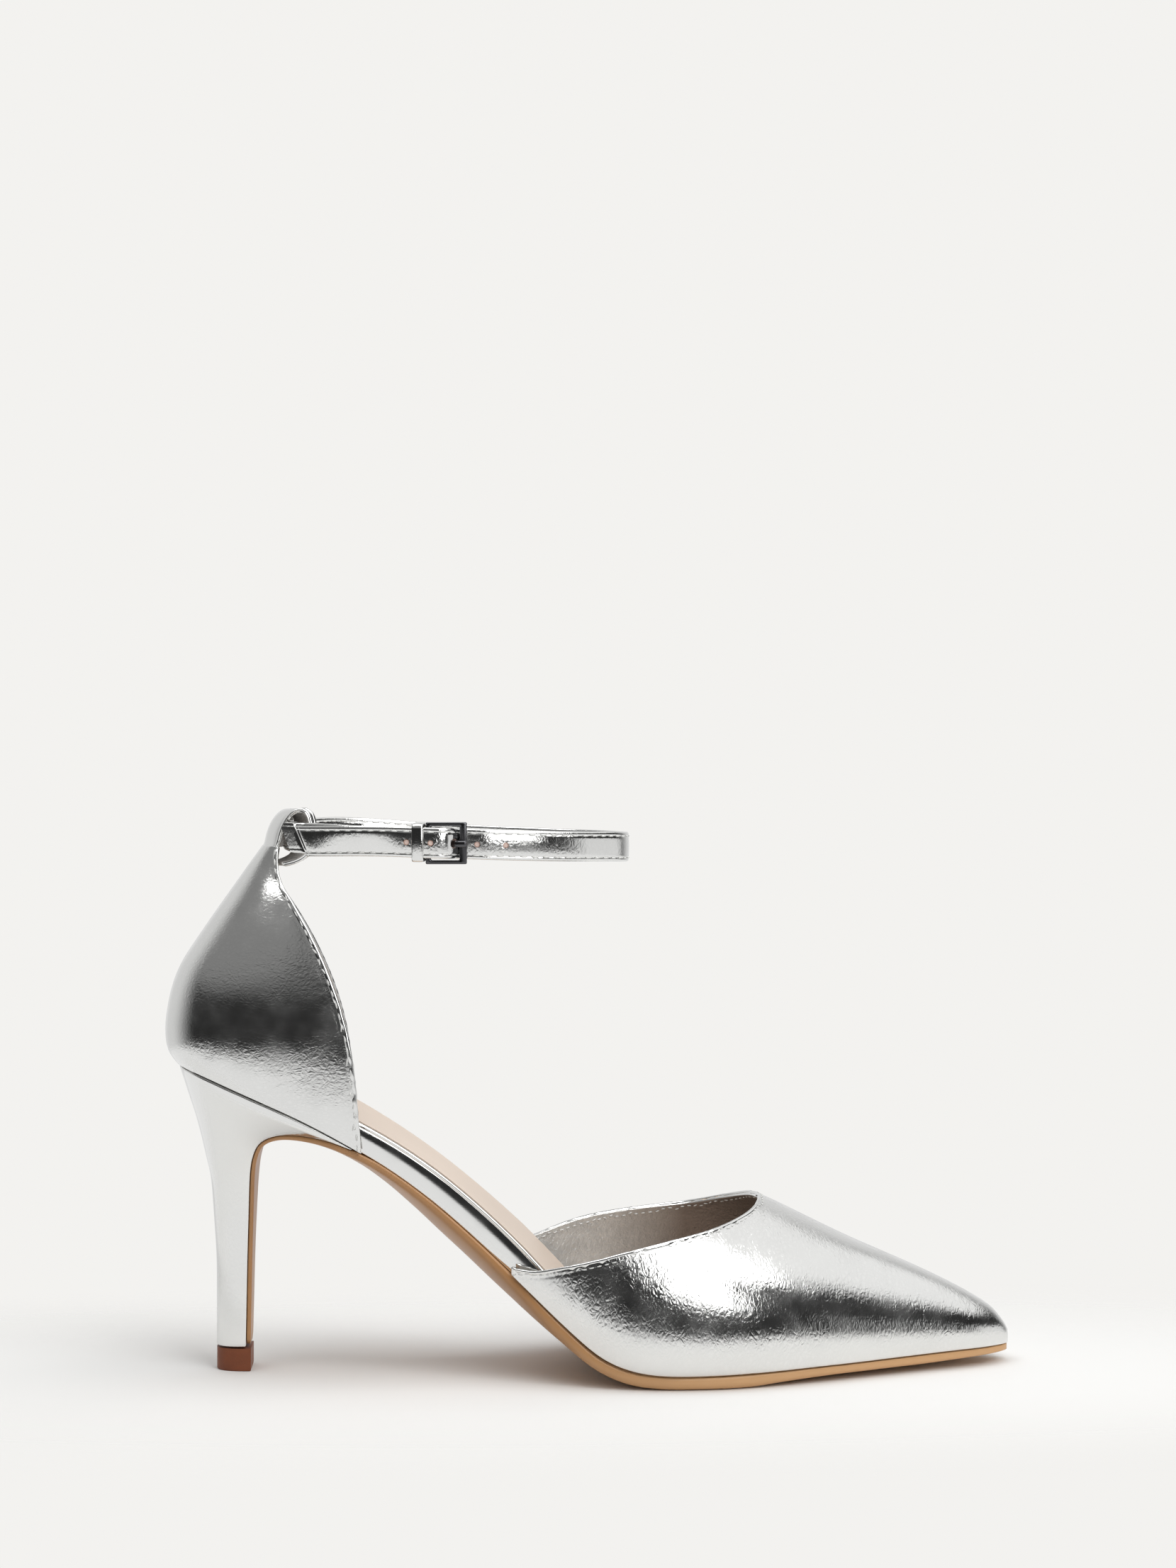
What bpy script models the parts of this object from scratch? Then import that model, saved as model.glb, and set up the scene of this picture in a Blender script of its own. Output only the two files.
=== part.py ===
"""Ankle strap pump with a pointed toe and a slim high heel, right shoe.

Shoemaker's measures are in millimetres: x runs from the back of the heel to
the toe, y is lateral when negative and medial when positive, z is the height
above the floor. The point function turns them into metres, with the origin in
the middle of the shoe's outline on the floor and +X towards the toe.
"""
import math
from collections import namedtuple

import bmesh
import bpy

SHOE_NAME = "ankle_strap_pump"
MM = 0.001

# Driving sizes
LENGTH = 240.6
HEEL_AXIS_Y = 1.1
SEAM_GAP = 0.3
UPPER_WALL = 1.5
COUNTER_WALL = 1.6
SOCK_THICKNESS = 0.9
SOCK_INSET = 0.9
LINING_GAP = 0.5
SOLE_REACH = 1.2
SOLE_EDGE_SHARE = 0.55
SOLE_BEVEL = 0.93
SOLE_BELLY = 0.62

# Last bottom: where the round heel end and the round toe end begin and stop
SEAT_CENTRE_X = 35.0
SEAT_BACK_X = 4.9
SEAT_POWER = 2.3
TOE_CENTRE_X = 228.0
TOE_TIP_X = 239.1
TOE_POWER = 2.0

# Ankle strap and its hardware
STRAP_WIDTH = 8.4
STRAP_THICKNESS = 1.6
STRAP_HOLE_RADIUS = 0.85
STRAP_HOLE_X = (68.7, 75.5, 88.2, 95.3)
PRONG_HOLE_X = 81.2
PRONG_HOLE_RADIUS = 1.4
STRAP_STEP = 2.6
PUNCH_LENGTH = 5.4
FRAME_LEFT_X = 74.0
FRAME_RIGHT_X = 85.3
FRAME_CENTRE_Z = 149.0
FRAME_HEIGHT = 11.5
FRAME_BAR = 1.05
FRAME_END_BAR = 1.5
FRAME_FRONT_BAR = 2.0
FRAME_DEPTH = 1.4
FRAME_CENTRE_Y = -29.0
LOOP_WALL = 1.2
LOOP_SAG = 4.5
KEEPER_WALL = 0.9
KEEPER_CENTRE = (71.9, -29.05, 149.3)
KEEPER_HALF = (1.6, 3.95, 5.4)
KEEPER_CORNER = 0.9

Last = namedtuple("Last", "x feather lateral medial board sole crown")
LAST = [
    Last(3.0, 87.0, 23.7, 23.7, 3.0, 2.0, 0.0),
    Last(9.0, 85.6, 23.7, 23.7, 3.2, 2.0, 0.0),
    Last(15.4, 83.3, 23.7, 23.7, 3.6, 2.0, 0.0),
    Last(25.5, 79.1, 23.7, 23.7, 4.4, 2.0, 0.0),
    Last(35.3, 74.8, 23.7, 23.7, 5.4, 2.0, 0.0),
    Last(45.1, 69.9, 23.7, 22.2, 6.3, 2.0, 0.0),
    Last(54.8, 64.3, 23.2, 19.6, 6.8, 1.9, 2.2),
    Last(64.5, 58.2, 22.7, 16.6, 7.0, 1.9, 3.2),
    Last(74.3, 51.0, 22.8, 14.7, 7.2, 2.0, 4.2),
    Last(84.1, 42.8, 24.0, 14.3, 7.3, 2.2, 4.8),
    Last(93.9, 33.9, 25.8, 15.6, 7.2, 2.4, 4.8),
    Last(103.6, 24.6, 28.3, 18.6, 6.6, 2.7, 4.2),
    Last(113.3, 15.3, 31.0, 22.4, 5.6, 3.0, 3.0),
    Last(122.9, 7.6, 33.4, 26.4, 4.6, 3.3, 1.4),
    Last(132.5, 4.4, 35.2, 29.8, 3.8, 3.6, 0.4),
    Last(142.2, 3.7, 36.1, 32.9, 3.2, 3.6, 0.0),
    Last(152.0, 3.8, 35.8, 33.9, 2.8, 3.7, 0.0),
    Last(162.0, 4.0, 34.2, 33.5, 2.5, 3.8, 0.0),
    Last(172.0, 4.2, 31.4, 31.3, 2.3, 3.1, 0.0),
    Last(182.0, 4.4, 27.8, 28.0, 2.2, 2.7, 0.0),
    Last(192.0, 4.5, 23.8, 24.1, 2.1, 2.5, 0.0),
    Last(203.0, 4.7, 19.3, 19.5, 2.0, 2.5, 0.0),
    Last(213.0, 4.9, 15.3, 15.4, 2.0, 2.5, 0.0),
    Last(222.0, 5.1, 11.8, 11.8, 2.0, 2.3, 0.0),
    Last(230.0, 5.2, 8.8, 8.8, 2.0, 2.0, 0.0),
    Last(240.6, 5.2, 5.4, 5.4, 2.0, 1.6, 0.0),
]

# Forepart of the upper: widest place above the feather line, height of the
# last's ridge, and the throat's edge on the lateral and medial sides
Vamp = namedtuple("Vamp", "x bulge wide ridge lateral_edge medial_edge")
VAMP = [
    Vamp(97.0, 0.8, 12.0, 96.0, 32.4, 32.4),
    Vamp(103.0, 1.2, 12.0, 90.0, 31.7, 32.8),
    Vamp(111.4, 1.8, 11.5, 83.0, 33.4, 35.6),
    Vamp(119.1, 2.3, 11.0, 76.5, 35.1, 37.7),
    Vamp(128.7, 2.7, 10.5, 68.6, 37.7, 39.2),
    Vamp(136.5, 2.8, 10.0, 63.0, 39.6, 40.1),
    Vamp(144.4, 2.8, 9.6, 58.2, 41.1, 41.0),
    Vamp(152.4, 2.7, 9.2, 54.1, 42.6, 42.3),
    Vamp(160.0, 2.5, 8.8, 50.9, 44.6, 44.6),
    Vamp(164.0, 2.4, 8.6, 49.5, 45.9, 46.1),
    Vamp(167.0, 2.3, 8.4, 48.6, 47.3, 47.4),
    Vamp(168.6, 2.3, 8.3, 48.1, 48.1, 48.1),
    Vamp(174.7, 2.1, 8.0, 45.4, 45.4, 45.4),
    Vamp(184.8, 1.9, 7.4, 40.4, 40.4, 40.4),
    Vamp(195.0, 1.6, 6.8, 35.5, 35.5, 35.5),
    Vamp(205.1, 1.4, 6.2, 31.1, 31.1, 31.1),
    Vamp(215.3, 1.2, 5.6, 26.6, 26.6, 26.6),
    Vamp(225.4, 1.0, 5.0, 21.7, 21.7, 21.7),
    Vamp(231.5, 0.9, 4.4, 18.2, 18.2, 18.2),
    Vamp(235.6, 0.7, 3.8, 15.5, 15.5, 15.5),
    Vamp(238.0, 0.5, 3.2, 12.8, 12.8, 12.8),
    Vamp(239.8, 0.3, 2.6, 10.2, 10.2, 10.2),
    Vamp(240.6, 0.0, 2.0, 8.4, 8.4, 8.4),
]
VAMP_POWER = 2.15
VAMP_COLUMNS = 12
VAMP_STEPS = (
    97.0, 100.0, 104.0, 109.0, 115.0, 121.0, 127.0, 133.0, 139.0, 145.0, 151.0, 156.0, 160.0, 163.0,
    165.4, 167.2, 168.2, 168.6, 172.0, 177.0, 184.0, 192.0, 200.0, 208.0, 216.0, 223.0,
)

# Quarter and counter: each row runs round the heel in the side view from its
# back point to its front edge, with its widest half-width at the centre x
Quarter = namedtuple("Quarter", "back_x back_z front_x front_z half centre_x seat")
COUNTER = [
    Quarter(3.4, 86.9, 56.3, 63.6, 25.2, 35.0, 1.0),
    Quarter(1.3, 89.6, 56.0, 67.6, 26.0, 35.0, 0.9),
    Quarter(0.3, 92.8, 55.5, 73.5, 26.8, 35.5, 0.6),
    Quarter(0.1, 97.6, 54.9, 81.5, 27.4, 36.5, 0.3),
    Quarter(0.8, 103.0, 53.9, 90.5, 27.6, 38.0, 0.1),
    Quarter(2.2, 109.0, 51.6, 100.8, 27.0, 38.5, 0.0),
    Quarter(4.8, 115.2, 48.2, 110.9, 25.6, 39.0, 0.0),
    Quarter(9.0, 121.6, 43.8, 120.8, 23.4, 39.5, 0.0),
    Quarter(13.4, 128.0, 39.8, 128.2, 20.6, 38.5, 0.0),
    Quarter(17.8, 134.2, 36.2, 133.9, 17.6, 37.0, 0.0),
    Quarter(21.9, 140.0, 33.6, 138.2, 14.6, 35.5, 0.0),
    Quarter(25.2, 144.6, 32.5, 143.4, 12.2, 34.5, 0.0),
    Quarter(27.8, 148.2, 32.9, 147.8, 10.6, 34.0, 0.0),
]
MEDIAL_SETBACK = 3.0
COUNTER_COLUMNS = 10
COUNTER_POWER = 2.3

# Heel: each row is a D-shaped section, its flat side against the breast
Heel = namedtuple("Heel", "back_x back_z front_x front_z half centre_x")
HEEL = [
    Heel(14.7, 6.6, 23.3, 6.6, 5.8, 23.3),
    Heel(14.7, 20.0, 23.6, 20.0, 6.1, 23.6),
    Heel(14.6, 32.0, 23.9, 33.0, 6.7, 23.9),
    Heel(13.9, 43.0, 24.3, 44.5, 7.8, 24.3),
    Heel(13.1, 53.8, 24.8, 55.0, 10.3, 24.8),
    Heel(11.8, 59.8, 25.6, 60.5, 12.6, 25.6),
    Heel(10.4, 65.9, 27.6, 65.0, 15.4, 27.6),
    Heel(8.8, 71.9, 31.5, 67.4, 18.2, 30.5),
    Heel(7.0, 77.3, 37.0, 68.2, 20.8, 33.0),
    Heel(5.3, 82.4, 45.0, 67.3, 23.2, 34.5),
    Heel(3.9, 86.4, 54.0, 64.5, 24.7, 35.0),
]
HEEL_COLUMNS = 9
HEEL_POWER = 2.3
FLAP_THICKNESS = 1.0
FLAP_INSET = 0.3
FLAP_TOP_X = 30.0
ARCH_LENGTH = 24.0
ARCH_THICKNESS = 1.8
ARCH_CROWN = 2.0

TOP_PIECE = [
    Heel(15.0, 0.0, 24.5, 0.0, 5.5, 24.5),
    Heel(14.8, 0.8, 24.7, 0.8, 5.7, 24.7),
    Heel(14.8, 6.3, 24.7, 6.3, 5.8, 24.7),
]

# Tunnel for the strap: the middle of the strip, from the seam over the strap
# and back to the inside of the quarter
Fold = namedtuple("Fold", "x z half")
BACK_LOOP = [
    Fold(28.2, 149.2, 10.5),
    Fold(28.7, 151.6, 10.4),
    Fold(29.9, 154.6, 10.3),
    Fold(31.8, 157.1, 10.2),
    Fold(34.0, 158.3, 10.1),
    Fold(36.2, 157.7, 10.0),
    Fold(37.5, 155.4, 10.0),
    Fold(37.9, 151.5, 10.0),
    Fold(37.5, 147.5, 10.0),
    Fold(35.9, 144.5, 10.0),
    Fold(32.4, 142.8, 9.9),
    Fold(29.0, 142.2, 9.8),
]
LOOP_COLUMNS = 8

# Ankle strap: the middle of the band from the buckle's end bar round the
# ankle and back through the buckle to the slanted tail
Band = namedtuple("Band", "x y z")
STRAP = [
    Band(75.2, -27.1, 149.15),
    Band(68.0, -27.1, 149.4),
    Band(57.0, -25.0, 149.6),
    Band(47.0, -20.2, 150.0),
    Band(39.3, -13.0, 150.4),
    Band(35.4, -6.3, 150.6),
    Band(34.2, 0.0, 150.8),
    Band(35.7, 6.3, 150.8),
    Band(40.1, 13.0, 151.1),
    Band(47.0, 20.6, 151.4),
    Band(58.0, 25.8, 150.9),
    Band(72.0, 28.0, 149.8),
    Band(88.0, 27.2, 148.9),
    Band(104.0, 24.2, 148.3),
    Band(117.0, 18.6, 147.8),
    Band(125.2, 11.6, 147.6),
    Band(129.6, 4.8, 147.4),
    Band(130.8, 0.0, 147.4),
    Band(129.6, -4.8, 147.4),
    Band(125.2, -11.6, 147.6),
    Band(117.0, -18.4, 147.8),
    Band(106.0, -23.6, 148.1),
    Band(96.0, -26.4, 148.4),
    Band(89.5, -27.2, 148.6),
    Band(84.2, -27.0, 148.8),
    Band(82.9, -27.3, 148.85),
    Band(81.1, -29.1, 148.95),
    Band(79.4, -30.8, 149.0),
    Band(78.0, -31.05, 149.05),
    Band(74.0, -31.05, 149.15),
    Band(70.0, -30.9, 149.3),
    Band(64.0, -29.9, 149.5),
    Band(56.0, -27.8, 149.6),
    Band(47.5, -23.8, 149.5),
    Band(39.4, -18.2, 149.4),
]
STRAP_TAIL_SLANT = 1.9

# Prong: its middle line from the end bar through the band onto the front bar
PRONG = [
    Band(75.8, -28.85, 148.8),
    Band(78.6, -28.45, 148.8),
    Band(79.8, -28.35, 148.8),
    Band(81.0, -28.95, 148.8),
    Band(82.2, -29.85, 148.8),
    Band(83.0, -30.5, 148.8),
    Band(84.2, -30.65, 148.8),
    Band(85.1, -30.6, 148.8),
]
PRONG_HALF_DEPTH = 0.55
PRONG_HALF_HEIGHT = 0.95
PRONG_SIDES = 8

Colour = namedtuple("Colour", "name rgb metallic roughness")
SILVER = Colour("silver_leather", (0.66, 0.66, 0.65), 0.9, 0.25)
TAN = Colour("tan_sole", (0.50, 0.29, 0.15), 0.0, 0.45)
BROWN = Colour("brown_top_piece", (0.20, 0.10, 0.05), 0.0, 0.5)
BEIGE = Colour("beige_sock", (0.72, 0.58, 0.50), 0.0, 0.6)
GUNMETAL = Colour("gunmetal_buckle", (0.20, 0.20, 0.21), 1.0, 0.25)


def point(x, y, z):
    """Shoemaker's millimetres to metres in the shoe's own frame."""
    return ((x - LENGTH / 2) * MM, (y + HEEL_AXIS_Y) * MM, z * MM)


def blend(a, b, share):
    return a + (b - a) * share


def hermite(p0, p1, m0, m1, width, share):
    """Cubic between two values with given slopes over a width."""
    s2, s3 = share * share, share * share * share
    return (
        p0 * (2 * s3 - 3 * s2 + 1)
        + m0 * width * (s3 - 2 * s2 + share)
        + p1 * (3 * s2 - 2 * s3)
        + m1 * width * (s3 - s2)
    )


def slopes(keys, values):
    """Slope at each row, held between neighbours so that nothing overshoots."""
    steps = [(values[i + 1] - values[i]) / (keys[i + 1] - keys[i]) for i in range(len(keys) - 1)]
    result = [steps[0]]
    for i in range(1, len(keys) - 1):
        left, right = steps[i - 1], steps[i]
        if left * right <= 0:
            result.append(0.0)
        else:
            result.append(2 * left * right / (left + right))
    result.append(steps[-1])
    return result


def row_at(table, key):
    """The row of a table at any value of its first column."""
    keys = [row[0] for row in table]
    key = min(max(key, keys[0]), keys[-1])
    index = max(i for i in range(len(keys) - 1) if keys[i] <= key)
    width = keys[index + 1] - keys[index]
    share = (key - keys[index]) / width
    values = [key]
    for column in range(1, len(table[0])):
        data = [row[column] for row in table]
        slope = slopes(keys, data)
        values.append(
            hermite(data[index], data[index + 1], slope[index], slope[index + 1], width, share)
        )
    return type(table[0])(*values)


def rows_between(table, steps):
    """A smooth run of rows through all rows of a table, whatever its columns."""
    result = []
    last = len(table) - 1
    for index in range(last):
        before = table[max(index - 1, 0)]
        after = table[min(index + 2, last)]
        for step in range(steps):
            share = step / steps
            values = []
            for column, start in enumerate(table[index]):
                end = table[index + 1][column]
                m0 = (end - before[column]) / 2 if index > 0 else end - start
                m1 = (after[column] - start) / 2 if index + 1 < last else end - start
                values.append(hermite(start, end, m0, m1, 1.0, share))
            result.append(type(table[0])(*values))
    result.append(table[last])
    return result


def last_half_width(x, side, inset):
    """Half-width of the last's bottom on one side (-1 lateral, 1 medial), inset from its edge."""
    row = row_at(LAST, x)
    width = (row.lateral if side < 0 else row.medial) - inset
    back = SEAT_BACK_X + inset
    tip = TOE_TIP_X - inset
    if x < SEAT_CENTRE_X:
        reach = min(1.0, (SEAT_CENTRE_X - x) / (SEAT_CENTRE_X - back))
        width *= (1 - reach ** SEAT_POWER) ** (1 / SEAT_POWER)
    if x > TOE_CENTRE_X:
        reach = min(1.0, (x - TOE_CENTRE_X) / (tip - TOE_CENTRE_X))
        width *= (1 - reach ** TOE_POWER) ** (1 / TOE_POWER)
    return width


def seat_taper(x, side):
    """How much narrower the last's bottom gets in front of the seat."""
    row = row_at(LAST, max(x, SEAT_CENTRE_X))
    return (row.lateral if side < 0 else row.medial) / LAST[0].lateral


def round_end(centre, end, steps):
    """Stations that close up towards a round end."""
    return [
        centre + (end - centre) * math.sin(math.pi / 2 * step / steps) for step in range(1, steps + 1)
    ]


def bed_slope(x):
    """Unit normal of the foot bed in the side view."""
    ahead, behind = row_at(LAST, x + 1.5).feather, row_at(LAST, x - 1.5).feather
    fall = (ahead - behind) / 3.0
    size = math.hypot(1.0, fall)
    return -fall / size, 1.0 / size


def new_object(name, mesh, colour, collection):
    """One named object with its own material."""
    material = bpy.data.materials.new(name + "_" + colour.name)
    material.use_nodes = True
    shader = material.node_tree.nodes["Principled BSDF"]
    shader.inputs["Base Color"].default_value = (*colour.rgb, 1.0)
    shader.inputs["Metallic"].default_value = colour.metallic
    shader.inputs["Roughness"].default_value = colour.roughness
    mesh.materials.append(material)
    shoe_piece = bpy.data.objects.new(name, mesh)
    collection.objects.link(shoe_piece)
    return shoe_piece


def mesh_of(name, form):
    """Turn a bmesh into a smooth-shaded mesh with its faces pointing out."""
    bmesh.ops.remove_doubles(form, verts=form.verts, dist=1e-6)
    bmesh.ops.dissolve_degenerate(form, edges=form.edges, dist=1e-7)
    bmesh.ops.recalc_face_normals(form, faces=form.faces)
    mesh = bpy.data.meshes.new(name)
    form.to_mesh(mesh)
    form.free()
    mesh.shade_smooth()
    mesh.set_sharp_from_angle(angle=math.radians(40))
    return mesh


def loft(name, rings, colour, collection, strips=True):
    """A closed solid through rings of points; each end is closed in strips or by one face."""
    form = bmesh.new()
    loops = [[form.verts.new(point(*spot)) for spot in ring] for ring in rings]
    count = len(loops[0])
    for near, far in zip(loops, loops[1:]):
        for i in range(count):
            j = (i + 1) % count
            form.faces.new((near[i], near[j], far[j], far[i]))
    middle = count // 2
    for ring in (loops[0], loops[-1]):
        if not strips:
            form.faces.new(ring)
            continue
        for i in range(middle - 1):
            form.faces.new((ring[i], ring[i + 1], ring[count - 2 - i], ring[count - 1 - i]))
        if count % 2:
            form.faces.new((ring[middle - 1], ring[middle], ring[middle + 1]))
    return new_object(name, mesh_of(name, form), colour, collection)


def sheet(name, grid, wall, colour, collection, offset=-1.0, flip=False):
    """An open surface through rows of points, given its wall by Solidify."""
    form = bmesh.new()
    rows = [[form.verts.new(point(*spot)) for spot in row] for row in grid]
    for near, far in zip(rows, rows[1:]):
        for i in range(len(near) - 1):
            corners = (near[i], near[i + 1], far[i + 1], far[i])
            form.faces.new(corners[::-1] if flip else corners)
    return walled(name, form, wall, colour, collection, offset)


def walled(name, form, wall, colour, collection, offset=-1.0):
    """Weld an open surface and give it a wall inwards of its faces."""
    bmesh.ops.remove_doubles(form, verts=form.verts, dist=1e-6)
    mesh = bpy.data.meshes.new(name)
    form.to_mesh(mesh)
    form.free()
    mesh.shade_smooth()
    shoe_piece = new_object(name, mesh, colour, collection)
    solid = shoe_piece.modifiers.new("wall", "SOLIDIFY")
    solid.thickness = wall * MM
    solid.offset = offset
    solid.use_even_offset = True
    return shoe_piece


def board_ring(x, inset, low, high, edge):
    """Section across the foot bed between two heights along its normal."""
    normal_x, normal_z = bed_slope(x)
    base = row_at(LAST, x).feather
    levels = [(0.0, low + edge), (0.0, high - edge), (edge, high)]
    ring = []
    for side in (-1, 1):
        part = []
        for inward, level in [(edge, low)] + levels:
            spot_x = x + normal_x * level
            half = max(last_half_width(spot_x, side, inset) - inward, 0.3)
            part.append((spot_x, side * half, base + normal_z * level))
        ring.extend(part if side < 0 else part[::-1])
    return ring


def bed_stations(inset):
    """Stations from the back of the seat to the toe."""
    back = round_end(SEAT_CENTRE_X, SEAT_BACK_X + inset + 0.4, 7)
    middle = [SEAT_CENTRE_X + 6.8 * i for i in range(1, 28)]
    toe = round_end(TOE_CENTRE_X, TOE_TIP_X - inset - 0.4, 5)
    return back[::-1] + [SEAT_CENTRE_X] + middle + [TOE_CENTRE_X] + toe


def make_insole_board(collection):
    """Wrapped board that carries the foot; its edge shows along the waist."""
    rings = []
    for x in bed_stations(LINING_GAP):
        thick = row_at(LAST, x).board
        rings.append(board_ring(x, LINING_GAP, SEAM_GAP, SEAM_GAP + thick, 0.6))
    return loft("insole_board", rings, SILVER, collection)


def make_insole(collection):
    """Sock lining on the board."""
    inset = LINING_GAP + SOCK_INSET
    rings = []
    for x in bed_stations(inset):
        low = 2 * SEAM_GAP + row_at(LAST, x).board
        rings.append(board_ring(x, inset, low, low + SOCK_THICKNESS, 0.4))
    return loft("insole", rings, BEIGE, collection)


def sole_path():
    """Top of the sole in the side view, from the toe round the arch and down the breast."""
    path = []
    toe = [TOE_CENTRE_X] + round_end(TOE_CENTRE_X, TOE_TIP_X + SOLE_REACH - 0.2, 5)
    front = [58.5 + 7.0 * i for i in range(24)]
    for x in toe[::-1] + front[::-1]:
        row = row_at(LAST, x)
        normal_x, normal_z = bed_slope(x)
        halves = [last_half_width(x, side, -SOLE_REACH) for side in (-1, 1)]
        path.append((x, row.feather, normal_x, normal_z, *halves, row.sole, row.crown))
    rows = rows_between(HEEL, 2)[::-1]
    for above, row, below in zip(rows, rows[1:], rows[2:] + [rows[-1]]):
        along_x, along_z = below.front_x - above.front_x, below.front_z - above.front_z
        size = math.hypot(along_x, along_z)
        normal_x, normal_z = along_z / size, -along_x / size
        if row.front_x < FLAP_TOP_X:
            normal_x = -abs(normal_x)
        halves = [row.half * seat_taper(row.front_x, side) - FLAP_INSET for side in (-1, 1)]
        share = min(1.0, max(0.0, (row.front_x - FLAP_TOP_X) / ARCH_LENGTH))
        path.append(
            (row.front_x, row.front_z, normal_x, normal_z, *halves,
             blend(FLAP_THICKNESS, ARCH_THICKNESS, share), ARCH_CROWN * share)
        )
    return path


def make_outsole(collection):
    """Leather sole: flat forepart, round-bellied waist, and a flap down the heel's breast."""
    rings = []
    for x, z, normal_x, normal_z, lateral, medial, thick, crown in sole_path():
        ring = []
        top, bottom = -SEAM_GAP, -SEAM_GAP - thick
        for side, half in ((-1, lateral), (1, medial)):
            half = max(half, 0.3)
            part = [(0.0, top), (half, top)]
            part += [(half, blend(top, bottom, SOLE_EDGE_SHARE)), (half * SOLE_BEVEL, bottom)]
            part += [(half * SOLE_BELLY, bottom - crown * SOLE_BELLY), (0.0, bottom - crown)]
            spots = [(x + normal_x * level, side * across, z + normal_z * level) for across, level in part]
            ring.extend(spots if side < 0 else spots[-2:0:-1])
        ring = [(a, b, max(c, 0.0)) for a, b, c in ring]
        ring = ring[1:] + ring[:1]
        rings.append(ring)
    return loft("outsole", rings, TAN, collection, strips=False)


def round_back(row, x, power):
    """Half-width of a D-shaped section: full in front of its centre, round behind it."""
    reach = min(1.0, max(0.0, (row.centre_x - x) / (row.centre_x - row.back_x)))
    return row.half * (1 - reach ** power) ** (1 / power)


def heel_ring(row, is_seat=False):
    """D-shaped heel section from the lateral front edge round the back to the medial one."""
    ring = []
    for side in (-1, 1):
        part = []
        for step in range(HEEL_COLUMNS + 1):
            share = 1 - math.sin(math.pi / 2 * step / HEEL_COLUMNS)
            x = blend(row.back_x, row.front_x, share)
            z = row_at(LAST, x).feather - SEAM_GAP if is_seat else blend(row.back_z, row.front_z, share)
            part.append((x, side * round_back(row, x, HEEL_POWER) * seat_taper(x, side), z))
        ring.extend(part if side < 0 else part[-2::-1])
    return ring


def make_heel(collection):
    """Covered heel, slim below and cupped to the seat above."""
    rows = rows_between(HEEL, 2)
    rings = [heel_ring(row) for row in rows[:-1]] + [heel_ring(rows[-1], is_seat=True)]
    return loft("heel", rings, SILVER, collection)


def make_top_piece(collection):
    """Wearing piece under the heel."""
    rings = [heel_ring(row) for row in TOP_PIECE]
    return loft("top_piece", rings, BROWN, collection, strips=False)


def vamp_spot(row, last, side, share):
    """A point on the upper's outside; share 0 is the feather line and 1 the ridge."""
    base = last_half_width(row.x, side, -UPPER_WALL)
    wide_z = last.feather + row.wide
    low_share = 0.3
    if share <= low_share:
        rise = share / low_share
        half = base + row.bulge * (1 - (1 - rise) ** 2)
        return (row.x, side * half, blend(last.feather, wide_z, rise))
    turn = math.pi / 2 * (share - low_share) / (1 - low_share)
    half = (base + row.bulge) * math.cos(turn) ** (2 / VAMP_POWER)
    z = wide_z + (row.ridge - wide_z) * math.sin(turn) ** (2 / VAMP_POWER)
    return (row.x, side * half, z)


def edge_share(row, last, edge_z):
    """Where along a section the throat's edge lies."""
    wide_z = last.feather + row.wide
    if edge_z <= wide_z:
        return 0.3 * (edge_z - last.feather) / row.wide
    rise = min(1.0, (edge_z - wide_z) / (row.ridge - wide_z))
    return 0.3 + 0.7 * math.asin(rise ** (VAMP_POWER / 2)) / (math.pi / 2)


def make_vamp(collection):
    """Forepart of the upper: one hollow wall, open at the throat and underneath."""
    tip = TOE_TIP_X + UPPER_WALL
    stations = list(VAMP_STEPS) + [TOE_CENTRE_X] + round_end(TOE_CENTRE_X, tip, 7)
    form = bmesh.new()
    for side in (-1, 1):
        rows = []
        for x in stations:
            row, last = row_at(VAMP, x), row_at(LAST, x)
            edge_z = row.lateral_edge if side < 0 else row.medial_edge
            top = edge_share(row, last, edge_z)
            spots = [vamp_spot(row, last, side, top * i / VAMP_COLUMNS) for i in range(VAMP_COLUMNS + 1)]
            rows.append([form.verts.new(point(*spot)) for spot in spots])
        for near, far in zip(rows, rows[1:]):
            for i in range(VAMP_COLUMNS):
                corners = (near[i], far[i], far[i + 1], near[i + 1])
                form.faces.new(corners if side < 0 else corners[::-1])
    return walled("vamp", form, UPPER_WALL, SILVER, collection)


def make_counter(collection):
    """Quarter that closes the heel: one hollow wall, open in front, above and underneath."""
    first = COUNTER[0]
    grid = []
    for row in rows_between(COUNTER, 2):
        spots = []
        for side in (-1, 1):
            part = []
            reach_x = row.front_x - row.back_x
            full = 1.0 if side < 0 else 1 - MEDIAL_SETBACK / reach_x
            for step in range(COUNTER_COLUMNS + 1):
                share = full * (1 - math.sin(math.pi / 2 * step / COUNTER_COLUMNS))
                x = row.back_x + reach_x * share
                half = round_back(row, x, COUNTER_POWER) * blend(1.0, seat_taper(x, side), row.seat)
                first_x = blend(first.back_x, first.front_x, share)
                bow = row_at(LAST, first_x).feather - blend(first.back_z, first.front_z, share)
                part.append((x, side * half, blend(row.back_z, row.front_z, share) + bow * row.seat))
            spots.extend(part if side < 0 else part[-2::-1])
        grid.append(spots)
    return sheet("counter", grid, COUNTER_WALL, SILVER, collection, flip=True)


def make_back_loop(collection):
    """Strip that rises from the quarter's top and folds over the strap as a tunnel."""
    grid = []
    for fold in rows_between(BACK_LOOP, 2):
        row = []
        for step in range(LOOP_COLUMNS + 1):
            across = 2 * step / LOOP_COLUMNS - 1
            row.append((fold.x + LOOP_SAG * across * across, fold.half * across, fold.z))
        grid.append(row)
    return sheet("back_loop", grid, LOOP_WALL, SILVER, collection, flip=True)


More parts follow.
